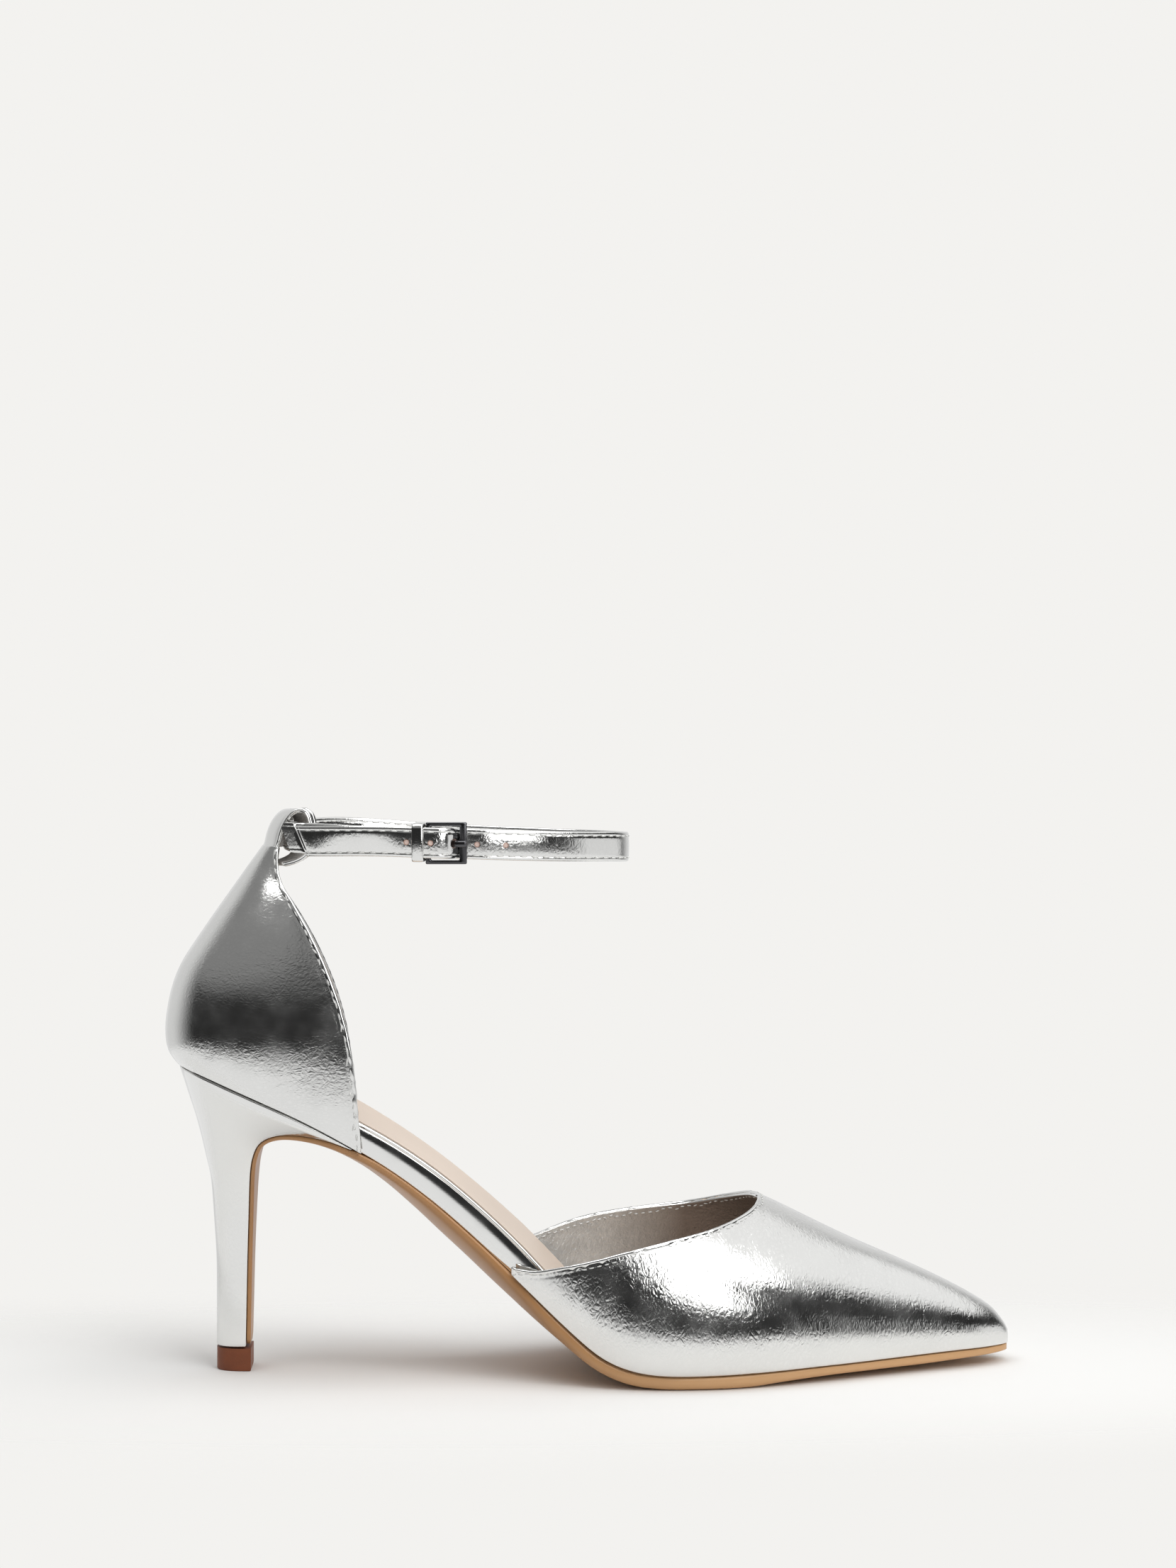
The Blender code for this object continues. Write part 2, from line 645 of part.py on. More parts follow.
def hole_cutter(x, y, z, radius, length, collection):
    """Punch along Y."""
    form = bmesh.new()
    bmesh.ops.create_cone(
        form, cap_ends=True, segments=12, radius1=radius * MM, radius2=radius * MM, depth=length * MM
    )
    mesh = bpy.data.meshes.new("hole_punch")
    form.to_mesh(mesh)
    form.free()
    cutter = bpy.data.objects.new("hole_punch", mesh)
    cutter.location = point(x, y, z)
    cutter.rotation_euler = (math.pi / 2, 0.0, 0.0)
    cutter.hide_render = True
    cutter.display_type = "WIRE"
    collection.objects.link(cutter)
    return cutter


def strap_path():
    """Stations along the band, taken from its table by the length run so far."""
    Run = namedtuple("Run", "run x y z")
    table, run = [], 0.0
    for before, spot in zip(STRAP[:1] + STRAP, STRAP):
        run += math.dist(before, spot)
        table.append(Run(run, *spot))
    path = []
    for start, end in zip(table, table[1:]):
        steps = math.ceil((end.run - start.run) / STRAP_STEP)
        path += [row_at(table, blend(start.run, end.run, step / steps)) for step in range(steps)]
    return path + [table[-1]]


def make_ankle_strap(collection, cutters):
    """Band from the buckle round the ankle, back through the buckle to its tail."""
    path = strap_path()
    grid = []
    for index, spot in enumerate(path):
        ahead = path[min(index + 1, len(path) - 1)]
        behind = path[max(index - 1, 0)]
        size = math.hypot(ahead.x - behind.x, ahead.y - behind.y)
        slant = STRAP_TAIL_SLANT / size if index == len(path) - 1 else 0.0
        grid.append([
            (
                spot.x + (ahead.x - behind.x) * slant * share,
                spot.y + (ahead.y - behind.y) * slant * share,
                spot.z + STRAP_WIDTH / 2 * share,
            )
            for share in (-1, 1)
        ])
    strap = sheet("ankle_strap", grid, STRAP_THICKNESS, SILVER, collection, offset=0.0)
    lateral_run = [spot for spot in path[len(path) // 2:] if spot.y < -20.0]
    for number, x in enumerate(STRAP_HOLE_X + (PRONG_HOLE_X,)):
        spot = min(lateral_run, key=lambda row: abs(row.x - x))
        radius = STRAP_HOLE_RADIUS if x != PRONG_HOLE_X else PRONG_HOLE_RADIUS
        length = PUNCH_LENGTH if x == PRONG_HOLE_X else PUNCH_LENGTH / 2
        punch = strap.modifiers.new("hole_%d" % (number + 1), "BOOLEAN")
        punch.operation = "DIFFERENCE"
        punch.object = hole_cutter(x, spot.y, spot.z, radius, length, cutters)
    return strap


def make_keeper(collection):
    """Fixed loop that holds the tail against the band beside the buckle."""
    centre_x, centre_y, centre_z = KEEPER_CENTRE
    half_x, half_y, half_z = KEEPER_HALF
    corner = KEEPER_CORNER
    outline = []
    for quarter, (sign_y, sign_z) in enumerate(((-1, 1), (-1, -1), (1, -1), (1, 1))):
        start = (math.pi / 2, math.pi, 3 * math.pi / 2, 0.0)[quarter]
        for step in range(4):
            turn = start + math.pi / 2 * step / 3
            y = centre_y + sign_y * (half_y - corner) + corner * math.cos(turn)
            z = centre_z + sign_z * (half_z - corner) + corner * math.sin(turn)
            outline.append((y, z))
    form = bmesh.new()
    rings = []
    for x in (centre_x - half_x, centre_x + half_x):
        rings.append([form.verts.new(point(x, y, z)) for y, z in outline])
    count = len(outline)
    for i in range(count):
        j = (i + 1) % count
        form.faces.new((rings[0][i], rings[0][j], rings[1][j], rings[1][i]))
    bmesh.ops.recalc_face_normals(form, faces=form.faces)
    return walled("keeper", form, KEEPER_WALL, SILVER, collection)


def make_buckle_frame(collection):
    """Square wire-edged frame, its end bar behind the tail and its front bar over the band."""
    left, right = FRAME_LEFT_X, FRAME_RIGHT_X
    low, high = FRAME_CENTRE_Z - FRAME_HEIGHT / 2, FRAME_CENTRE_Z + FRAME_HEIGHT / 2
    inner = (left + FRAME_END_BAR, right - FRAME_FRONT_BAR, low + FRAME_BAR, high - FRAME_BAR)
    form = bmesh.new()
    loops = []
    for y in (FRAME_CENTRE_Y - FRAME_DEPTH / 2, FRAME_CENTRE_Y + FRAME_DEPTH / 2):
        for x0, x1, z0, z1 in ((left, right, low, high), inner):
            corners = ((x0, z0), (x1, z0), (x1, z1), (x0, z1))
            loops.append([form.verts.new(point(x, y, z)) for x, z in corners])
    outer_near, inner_near, outer_far, inner_far = loops
    for one, other in (
        (outer_near, inner_near), (inner_near, inner_far), (inner_far, outer_far), (outer_far, outer_near)
    ):
        for i in range(4):
            j = (i + 1) % 4
            form.faces.new((one[i], one[j], other[j], other[i]))
    bmesh.ops.recalc_face_normals(form, faces=form.faces)
    frame = new_object("buckle_frame", mesh_of("buckle_frame", form), GUNMETAL, collection)
    edge = frame.modifiers.new("round_edges", "BEVEL")
    edge.width = 0.4 * MM
    edge.segments = 2
    return frame


def make_buckle_prong(collection):
    """Prong from the end bar through the band, its tip on the front bar."""
    rings = []
    for index, spot in enumerate(PRONG):
        ahead, behind = PRONG[min(index + 1, len(PRONG) - 1)], PRONG[max(index - 1, 0)]
        along_x, along_y = ahead.x - behind.x, ahead.y - behind.y
        size = math.hypot(along_x, along_y)
        ring = []
        for side in range(PRONG_SIDES):
            turn = 2 * math.pi * side / PRONG_SIDES
            out = PRONG_HALF_DEPTH * math.cos(turn)
            up = PRONG_HALF_HEIGHT * math.sin(turn)
            ring.append((spot.x - along_y / size * out, spot.y + along_x / size * out, spot.z + up))
        rings.append(ring)
    return loft("buckle_prong", rings, GUNMETAL, collection, strips=False)


def build_shoe():
    for old in list(bpy.data.objects):
        bpy.data.objects.remove(old)
    shoe = bpy.data.collections.new(SHOE_NAME)
    cutters = bpy.data.collections.new("cutters")
    for collection in (shoe, cutters):
        bpy.context.scene.collection.children.link(collection)
    make_outsole(shoe)
    make_heel(shoe)
    make_top_piece(shoe)
    make_insole_board(shoe)
    make_insole(shoe)
    make_vamp(shoe)
    make_counter(shoe)
    make_back_loop(shoe)
    make_ankle_strap(shoe, cutters)
    make_keeper(shoe)
    make_buckle_frame(shoe)
    make_buckle_prong(shoe)


build_shoe()
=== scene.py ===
"""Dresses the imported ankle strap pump: silver foil leather, linings, stitches, buckle, sole and studio.

Shoemaker's measures are in millimetres: x runs from the back of the heel to the
toe, y is lateral when negative and medial when positive, z is the height above
the floor. The point function turns them into metres in the model's own frame.
"""

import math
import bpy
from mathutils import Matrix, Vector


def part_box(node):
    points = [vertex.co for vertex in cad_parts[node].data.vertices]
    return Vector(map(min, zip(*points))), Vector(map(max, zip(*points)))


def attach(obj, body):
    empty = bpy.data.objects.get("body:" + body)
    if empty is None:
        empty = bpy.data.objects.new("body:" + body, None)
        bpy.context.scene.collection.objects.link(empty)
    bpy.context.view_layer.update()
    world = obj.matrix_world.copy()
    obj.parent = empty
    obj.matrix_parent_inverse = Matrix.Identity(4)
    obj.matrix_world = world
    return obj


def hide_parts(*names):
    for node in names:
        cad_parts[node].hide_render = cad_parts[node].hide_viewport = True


bl_info = {
    "name": "Ankle Strap Pump",
    "version": (1, 0, 0),
    "blender": (4, 5, 0),
    "location": "3D View > Sidebar > Shoe",
    "description": "Builds the leather, lining, stitching, buckle, sole and studio of an ankle strap pump",
    "category": "Object",
}

from collections import namedtuple

import bmesh
import bpy
from bpy.props import FloatProperty, FloatVectorProperty, PointerProperty
from mathutils import Matrix, Vector
from mathutils.bvhtree import BVHTree
from mathutils.kdtree import KDTree

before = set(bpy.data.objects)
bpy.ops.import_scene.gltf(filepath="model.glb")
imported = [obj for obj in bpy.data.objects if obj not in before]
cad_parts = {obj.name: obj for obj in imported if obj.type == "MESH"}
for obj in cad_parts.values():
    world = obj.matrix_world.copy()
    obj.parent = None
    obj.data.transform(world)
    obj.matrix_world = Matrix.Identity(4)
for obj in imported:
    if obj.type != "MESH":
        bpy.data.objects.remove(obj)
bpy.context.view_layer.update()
BODY = "root"
MM = 0.001

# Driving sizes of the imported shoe
LENGTH = 240.6
HEEL_AXIS_Y = 1.1
SEAM_GAP = 0.3
UPPER_WALL = 1.5
COUNTER_WALL = 1.6
SOCK_THICKNESS = 0.9
SOCK_INSET = 0.9
LINING_GAP = 0.5
PAST_WALL = 0.3
SOLE_REACH = 1.2
WAIST_REACH = -0.5
WAIST_END_X = 92.0
WAIST_FADE = 14.0
SOLE_START_X = 58.5
SOLE_STEP = 3.5
SOLE_TOP = -0.04
SOLE_EDGE = ((1.0, 0.45), (0.992, 0.72), (0.965, 0.93))
SOLE_BELLY = ((0.9, 0.12), (0.62, 0.62), (0.3, 0.93), (0.0, 1.0))
BED_STEP = 3.4
SEAT_CENTRE_X = 35.0
SEAT_BACK_X = 4.9
SEAT_POWER = 2.3
TOE_CENTRE_X = 228.0
TOE_TIP_X = 239.1
TOE_POWER = 2.0

Last = namedtuple("Last", "x feather lateral medial board sole crown")
LAST = [Last(*row) for row in (
    (3.0, 87.0, 23.7, 23.7, 3.0, 2.0, 0.0),
    (9.0, 85.6, 23.7, 23.7, 3.2, 2.0, 0.0),
    (15.4, 83.3, 23.7, 23.7, 3.6, 2.0, 0.0),
    (25.5, 79.1, 23.7, 23.7, 4.4, 2.0, 0.0),
    (35.3, 74.8, 23.7, 23.7, 5.4, 2.0, 0.0),
    (45.1, 69.9, 23.7, 22.2, 6.3, 2.0, 0.0),
    (54.8, 64.3, 23.2, 19.6, 6.8, 1.9, 2.2),
    (64.5, 58.2, 22.7, 16.6, 7.0, 1.9, 3.2),
    (74.3, 51.0, 22.8, 14.7, 7.2, 2.0, 4.2),
    (84.1, 42.8, 24.0, 14.3, 7.3, 2.2, 4.8),
    (93.9, 33.9, 25.8, 15.6, 7.2, 2.4, 4.8),
    (103.6, 24.6, 28.3, 18.6, 6.6, 2.7, 4.2),
    (113.3, 15.3, 31.0, 22.4, 5.6, 3.0, 3.0),
    (122.9, 7.6, 33.4, 26.4, 4.6, 3.3, 1.4),
    (132.5, 4.4, 35.2, 29.8, 3.8, 3.6, 0.4),
    (142.2, 3.7, 36.1, 32.9, 3.2, 3.6, 0.0),
    (152.0, 3.8, 35.8, 33.9, 2.8, 3.7, 0.0),
    (162.0, 4.0, 34.2, 33.5, 2.5, 3.8, 0.0),
    (172.0, 4.2, 31.4, 31.3, 2.3, 3.1, 0.0),
    (182.0, 4.4, 27.8, 28.0, 2.2, 2.7, 0.0),
    (192.0, 4.5, 23.8, 24.1, 2.1, 2.5, 0.0),
    (203.0, 4.7, 19.3, 19.5, 2.0, 2.5, 0.0),
    (213.0, 4.9, 15.3, 15.4, 2.0, 2.5, 0.0),
    (222.0, 5.1, 11.8, 11.8, 2.0, 2.3, 0.0),
    (230.0, 5.2, 8.8, 8.8, 2.0, 2.0, 0.0),
    (240.6, 5.2, 5.4, 5.4, 2.0, 1.6, 0.0),
)]

# Side of a board or sock: how far inwards, and how far over its underside or under its top,
# in multiples of its lip
RIM_LOW = ((1.5, 0.0), (1.3, 0.4))
RIM_MIDDLE = 1.1
RIM_HIGH = ((0.75, 2.6), (0.95, 2.1), (0.6, 1.75), (-0.1, 1.1), (0.05, 0.4), (0.5, 0.0), (2.2, 0.0))

# Forepart of the upper
Vamp = namedtuple("Vamp", "x bulge wide ridge lateral_edge medial_edge")
VAMP = [Vamp(*row) for row in (
    (97.0, 0.8, 12.0, 96.0, 32.4, 32.4),
    (103.0, 1.2, 12.0, 90.0, 31.7, 32.8),
    (111.4, 1.8, 11.5, 83.0, 33.4, 35.6),
    (119.1, 2.3, 11.0, 76.5, 35.1, 37.7),
    (128.7, 2.7, 10.5, 68.6, 37.7, 39.2),
    (136.5, 2.8, 10.0, 63.0, 39.6, 40.1),
    (144.4, 2.8, 9.6, 58.2, 41.1, 41.0),
    (152.4, 2.7, 9.2, 54.1, 42.6, 42.3),
    (160.0, 2.5, 8.8, 50.9, 44.6, 44.6),
    (164.0, 2.4, 8.6, 49.5, 45.9, 46.1),
    (167.0, 2.3, 8.4, 48.6, 47.3, 47.4),
    (168.6, 2.3, 8.3, 48.1, 48.1, 48.1),
    (174.7, 2.1, 8.0, 45.4, 45.4, 45.4),
    (184.8, 1.9, 7.4, 40.4, 40.4, 40.4),
    (195.0, 1.6, 6.8, 35.5, 35.5, 35.5),
    (205.1, 1.4, 6.2, 31.1, 31.1, 31.1),
    (215.3, 1.2, 5.6, 26.6, 26.6, 26.6),
    (225.4, 1.0, 5.0, 21.7, 21.7, 21.7),
    (231.5, 0.9, 4.4, 18.2, 18.2, 18.2),
    (235.6, 0.7, 3.8, 15.5, 15.5, 15.5),
    (238.0, 0.5, 3.2, 12.8, 12.8, 12.8),
    (239.8, 0.3, 2.6, 10.2, 10.2, 10.2),
    (240.6, 0.0, 2.0, 8.4, 8.4, 8.4),
)]
VAMP_POWER = 2.15
VAMP_PARTS = 48
VAMP_ROLL = (0.55, 0.85)
THROAT_STITCH = 1.5
LOW_SHARE = 0.3
EDGE_STEPS = (0.0, 0.45, 1.1, 1.9, 3.0, 4.6)
EDGE_ROOM = 18.0
THROAT_X = 168.6
VAMP_STEPS = (
    97.0, 100.0, 104.0, 109.0, 115.0, 121.0, 127.0, 133.0, 139.0, 145.0, 151.0, 156.0, 160.0, 163.0,
    165.4, 167.2, 168.2, 168.6, 170.0, 172.0, 174.6, 178.0, 182.0, 187.0, 192.0, 198.0, 204.0, 210.0,
    216.0, 222.0,
)

# Quarter and counter, row by row from the seat to the back seam's top
Quarter = namedtuple("Quarter", "back_x back_z front_x front_z half centre_x seat")
COUNTER = [Quarter(*row) for row in (
    (3.4, 86.9, 56.3, 63.6, 25.2, 35.0, 1.0),
    (1.3, 89.6, 56.0, 67.6, 26.0, 35.0, 0.9),
    (0.3, 92.8, 55.5, 73.5, 26.8, 35.5, 0.6),
    (0.1, 97.6, 54.9, 81.5, 27.4, 36.5, 0.3),
    (0.8, 103.0, 53.9, 90.5, 27.6, 38.0, 0.1),
    (2.2, 109.0, 51.6, 100.8, 27.0, 38.5, 0.0),
    (4.8, 115.2, 48.2, 110.9, 25.6, 39.0, 0.0),
    (9.0, 121.6, 43.8, 120.8, 23.4, 39.5, 0.0),
    (13.4, 128.0, 39.8, 128.2, 20.6, 38.5, 0.0),
    (17.8, 134.2, 36.2, 133.9, 17.6, 37.0, 0.0),
    (21.9, 140.0, 33.6, 138.2, 14.6, 35.5, 0.0),
    (25.2, 144.6, 32.5, 143.4, 12.2, 34.5, 0.0),
    (27.8, 148.2, 32.9, 147.8, 10.6, 34.0, 0.0),
)]
MEDIAL_SETBACK = 3.0
COUNTER_POWER = 2.3
COUNTER_STEPS = 40
COUNTER_ROLL = (0.55, 0.9)
QUARTER_STITCH = 2.3

# Heel sections from the top piece to the seat, the flap of sole on its breast, and the top
# piece with how far its edge draws in at each height
Heel = namedtuple("Heel", "back_x back_z front_x front_z half centre_x")
HEEL = [Heel(*row) for row in (
    (14.7, 6.6, 23.3, 6.6, 5.8, 23.3),
    (14.7, 20.0, 23.6, 20.0, 6.1, 23.6),
    (14.6, 32.0, 23.9, 33.0, 6.7, 23.9),
    (13.9, 43.0, 24.3, 44.5, 7.8, 24.3),
    (13.1, 53.8, 24.8, 55.0, 10.3, 24.8),
    (11.8, 59.8, 25.6, 60.5, 12.6, 25.6),
    (10.4, 65.9, 27.6, 65.0, 15.4, 27.6),
    (8.8, 71.9, 31.5, 67.4, 18.2, 30.5),
    (7.0, 77.3, 37.0, 68.2, 20.8, 33.0),
    (5.3, 82.4, 45.0, 67.3, 23.2, 34.5),
    (3.9, 86.4, 54.0, 64.5, 24.7, 35.0),
)]
HEEL_POWER = 2.3
HEEL_STEPS = 32
BREAST_STEPS = (0.0, 0.35, 1.0, 2.2)
BREAST_ROOM = 20.0
BREAST_SHARES = (0.04, 0.2, 0.5, 0.8, 0.96)
FLAP_THICKNESS = 1.0
FLAP_INSET = 0.3
FLAP_TOP_X = 30.0
ARCH_LENGTH = 24.0
ARCH_THICKNESS = 1.8
ARCH_CROWN = 2.0
TOP_PIECE = Heel(14.8, 6.3, 24.7, 6.3, 5.8, 24.7)
TOP_PIECE_STEPS = 12
TOP_PIECE_EDGE = (
    (0.9, 0.0), (0.3, 0.0), (0.05, 0.25), (0.0, 0.8), (0.0, 3.0), (0.0, 6.2), (0.0, 6.3), (0.9, 6.3),
)

# Strip folded over the ankle strap: its middle line in the side view
Fold = namedtuple("Fold", "x z half")
BACK_LOOP = [Fold(*row) for row in (
    (27.5, 147.3, 10.75), (28.15, 149.2, 10.6), (28.7, 151.6, 10.4), (29.9, 154.6, 10.3),
    (31.8, 157.1, 10.2), (34.0, 158.3, 10.1), (36.2, 157.7, 10.0), (37.5, 155.4, 10.0),
    (37.9, 151.5, 10.0), (37.5, 147.5, 10.0), (35.9, 144.5, 10.0), (32.4, 142.8, 9.9),
    (29.0, 142.2, 9.8),
)]
LOOP_ACROSS = (-1.0, -0.95, -0.88, -0.75, -0.5, -0.25, 0.0, 0.25, 0.5, 0.75, 0.88, 0.95, 1.0)
LOOP_SAG = 4.5
LOOP_ROLL = (0.48, 0.75)
LOOP_WALL = 1.2

# Ankle strap: the middle of the band from the buckle's end bar to the tail, half its section
# as places in from its edge and out from its middle, its tail as places before its end with
# the share of thickness left there, and the prong's middle line
STRAP = [
    (75.2, -27.1, 149.15), (68.0, -27.1, 149.4), (57.0, -25.0, 149.6), (47.0, -20.2, 150.0),
    (39.3, -13.0, 150.4), (35.4, -6.3, 150.6), (34.2, 0.0, 150.8), (35.7, 6.3, 150.8),
    (40.1, 13.0, 151.1), (47.0, 20.6, 151.4), (58.0, 25.8, 150.9), (72.0, 28.0, 149.8),
    (88.0, 27.2, 148.9), (104.0, 24.2, 148.3), (117.0, 18.6, 147.8), (125.2, 11.6, 147.6),
    (129.6, 4.8, 147.4), (130.8, 0.0, 147.4), (129.6, -4.8, 147.4), (125.2, -11.6, 147.6),
    (117.0, -18.4, 147.8), (106.0, -23.6, 148.1), (96.0, -26.4, 148.4), (89.5, -27.2, 148.6),
    (84.2, -27.0, 148.8), (82.9, -27.3, 148.85), (81.1, -29.1, 148.95), (79.4, -30.8, 149.0),
    (78.0, -31.05, 149.05), (74.0, -31.05, 149.15), (70.0, -30.9, 149.3), (64.0, -29.9, 149.5),
    (56.0, -27.8, 149.6), (47.5, -23.8, 149.5), (39.4, -18.2, 149.4),
]
Run = namedtuple("Run", "run x y z")
STRAP_WIDTH = 8.4
STRAP_TAIL_SLANT = 1.9
STRAP_LEAN = math.radians(3.0)
STRAP_TAIL_LEAN = math.radians(6.0)
LEAN_START = 8.0
TAIL_TWIST_X = 56.0
TAIL_TWIST_REACH = 12.0
STRAP_EDGE = (
    (0.0, 0.2), (0.1, 0.44), (0.32, 0.6), (0.62, 0.69), (0.9, 0.72), (1.12, 0.6), (1.35, 0.72), (2.0, 0.79),
    (3.0, 0.83),
)
STRAP_CROWN = 0.84
STRAP_STITCH = 2.4
STRAP_STITCH_INSET = 1.15
STRAP_STITCH_LIFT = 0.62
TAIL = (
    (6.0, 1.0), (4.8, 1.0), (3.6, 1.0), (2.6, 1.0), (1.9, 0.97), (1.4, 0.9), (1.15, 0.72), (0.9, 0.86),
    (0.55, 0.8), (0.25, 0.6), (0.0, 0.25),
)
TAIL_REACH = 6.0
TAIL_FADE = 3.4
KEEPER_TURN = math.radians(-9.0)
KEEPER_SHIFT = 0.4
STRAP_HOLE_X = (68.7, 75.5, 88.2, 95.3)
PRONG_HOLE_X = 81.2
STRAP_HOLE = (0.8, 0.8, 1.1)
HOLE_CORE = (0.79, 0.6, 0.25)
PRONG_HOLE = (1.35, 1.35, 5.0)
BUCKLE_RIM = 1.1
BUCKLE_END_BAR = 1.5
BUCKLE_FRONT_BAR = 2.0
BUCKLE_ROUNDING = 0.38
PRONG_HALVES = (0.93, 0.53)
PRONG = [
    (75.8, -28.85, 148.8), (78.6, -28.45, 148.8), (79.8, -28.35, 148.8), (81.0, -28.95, 148.8),
    (82.2, -29.85, 148.8), (83.0, -30.5, 148.8), (84.2, -30.65, 148.8), (85.1, -30.6, 148.8),
]


def point(x, y, z):
    """Shoemaker's millimetres to metres in the model's own frame."""
    return Vector(((x - LENGTH / 2) * MM, (y + HEEL_AXIS_Y) * MM, z * MM))


def blend(a, b, share):
    """A value between two others."""
    return a + (b - a) * share


def hermite(p0, p1, m0, m1, width, share):
    """Cubic between two values with given slopes over a width."""
    s2, s3 = share * share, share * share * share
    return (
        p0 * (2 * s3 - 3 * s2 + 1)
        + m0 * width * (s3 - 2 * s2 + share)
        + p1 * (3 * s2 - 2 * s3)
        + m1 * width * (s3 - s2)
    )


def slopes(keys, values):
    """Slope at each row, held between neighbours so that nothing overshoots."""
    steps = [(values[i + 1] - values[i]) / (keys[i + 1] - keys[i]) for i in range(len(keys) - 1)]
    result = [steps[0]]
    for left, right in zip(steps, steps[1:]):
        result.append(0.0 if left * right <= 0 else 2 * left * right / (left + right))
    return result + [steps[-1]]


def row_at(table, key):
    """The row of a table at any value of its first column."""
    keys = [row[0] for row in table]
    key = min(max(key, keys[0]), keys[-1])
    index = max(i for i in range(len(keys) - 1) if keys[i] <= key)
    width = keys[index + 1] - keys[index]
    share = (key - keys[index]) / width
    values = [key]
    for column in range(1, len(table[0])):
        data = [row[column] for row in table]
        slope = slopes(keys, data)
        values.append(
            hermite(data[index], data[index + 1], slope[index], slope[index + 1], width, share)
        )
    return type(table[0])(*values)


def rows_between(table, steps):
    """A smooth run of rows through all rows of a table, whatever its columns."""
    result = []
    last = len(table) - 1
    for index in range(last):
        before, after = table[max(index - 1, 0)], table[min(index + 2, last)]
        for step in range(steps):
            values = []
            for column, start in enumerate(table[index]):
                end = table[index + 1][column]
                m0 = (end - before[column]) / 2 if index > 0 else end - start
                m1 = (after[column] - start) / 2 if index + 1 < last else end - start
                values.append(hermite(start, end, m0, m1, 1.0, step / steps))
            result.append(type(table[0])(*values))
    return result + [table[last]]


def last_half_width(x, side, inset):
    """Half-width of the last's bottom on one side (-1 lateral, 1 medial), inset from its edge."""
    row = row_at(LAST, x)
    width = (row.lateral if side < 0 else row.medial) - inset
    if x < SEAT_CENTRE_X:
        reach = min(1.0, (SEAT_CENTRE_X - x) / (SEAT_CENTRE_X - SEAT_BACK_X - inset))
        width *= (1 - reach ** SEAT_POWER) ** (1 / SEAT_POWER)
    if x > TOE_CENTRE_X:
        reach = min(1.0, (x - TOE_CENTRE_X) / (TOE_TIP_X - inset - TOE_CENTRE_X))
        width *= (1 - reach ** TOE_POWER) ** (1 / TOE_POWER)
    return width


def seat_taper(x, side):
    """How much narrower the last's bottom gets in front of the seat."""
    row = row_at(LAST, max(x, SEAT_CENTRE_X))
    return (row.lateral if side < 0 else row.medial) / LAST[0].lateral


def round_end(centre, end, steps):
    """Stations that close up towards a round end."""
    return [
        centre + (end - centre) * math.sin(math.pi / 2 * step / steps) for step in range(1, steps + 1)
    ]


def bed_slope(x):
    """Unit normal of the foot bed in the side view."""
    fall = (row_at(LAST, x + 1.5).feather - row_at(LAST, x - 1.5).feather) / 3.0
    size = math.hypot(1.0, fall)
    return -fall / size, 1.0 / size


def round_back(row, x, power):
    """Half-width of a D-shaped section: full in front of its centre, round behind it."""
    reach = min(1.0, max(0.0, (row.centre_x - x) / (row.centre_x - row.back_x)))
    return row.half * (1 - reach ** power) ** (1 / power)


def vamp_spot(row, last, side, share):
    """A point on the upper's outside; share 0 is the feather line and 1 the ridge."""
    base = last_half_width(row.x, side, -UPPER_WALL)
    wide_z = last.feather + row.wide
    if share <= LOW_SHARE:
        rise = share / LOW_SHARE
        half = base + row.bulge * (1 - (1 - rise) ** 2)
        return (row.x, side * half, blend(last.feather, wide_z, rise))
    turn = math.pi / 2 * (share - LOW_SHARE) / (1 - LOW_SHARE)
    half = (base + row.bulge) * max(0.0, math.cos(turn)) ** (2 / VAMP_POWER)
    z = wide_z + (row.ridge - wide_z) * math.sin(turn) ** (2 / VAMP_POWER)
    return (row.x, side * half, z)


def edge_share(row, last, edge_z):
    """Where along a section the throat's edge lies."""
    wide_z = last.feather + row.wide
    if edge_z <= wide_z:
        return LOW_SHARE * (edge_z - last.feather) / row.wide
    rise = min(1.0, (edge_z - wide_z) / (row.ridge - wide_z))
    return LOW_SHARE + (1 - LOW_SHARE) * math.asin(rise ** (VAMP_POWER / 2)) / (math.pi / 2)


def run_lengths(spots):
    """Length run so far at each point of a line."""
    lengths = [0.0]
    for one, other in zip(spots, spots[1:]):
        lengths.append(lengths[-1] + math.dist(one, other))
    return lengths


def spot_along(spots, lengths, length):
    """The point of a line at a length run along it."""
    length = min(max(length, 0.0), lengths[-1])
    for index in range(len(spots) - 1):
        if lengths[index + 1] >= length:
            width = lengths[index + 1] - lengths[index]
            share = (length - lengths[index]) / width if width > 0 else 0.0
            return tuple(blend(a, b, share) for a, b in zip(spots[index], spots[index + 1]))
    return tuple(spots[-1])


def even_line(spots, pitch):
    """Points of a line at about an even pitch, with both its ends."""
    lengths = run_lengths(spots)
    count = max(1, round(lengths[-1] / pitch))
    return [spot_along(spots, lengths, lengths[-1] * i / count) for i in range(count + 1)]


def soft_line(spots, steps):
    """A B-spline that starts and ends on a line's end points and rounds its corners."""
    before = tuple(2 * p - q for p, q in zip(spots[0], spots[1]))
    after = tuple(2 * p - q for p, q in zip(spots[-1], spots[-2]))
    line = [before] + list(spots) + [after]
    result = []
    for a, b, c, d in zip(line, line[1:], line[2:], line[3:]):
        for step in range(steps):
            t = step / steps
            weights = (
                (1 - t) ** 3 / 6,
                (3 * t ** 3 - 6 * t ** 2 + 4) / 6,
                (-3 * t ** 3 + 3 * t ** 2 + 3 * t + 1) / 6,
                t ** 3 / 6,
            )
            result.append(tuple(sum(w * v for w, v in zip(weights, values)) for values in zip(a, b, c, d)))
    return result + [tuple(spots[-1])]


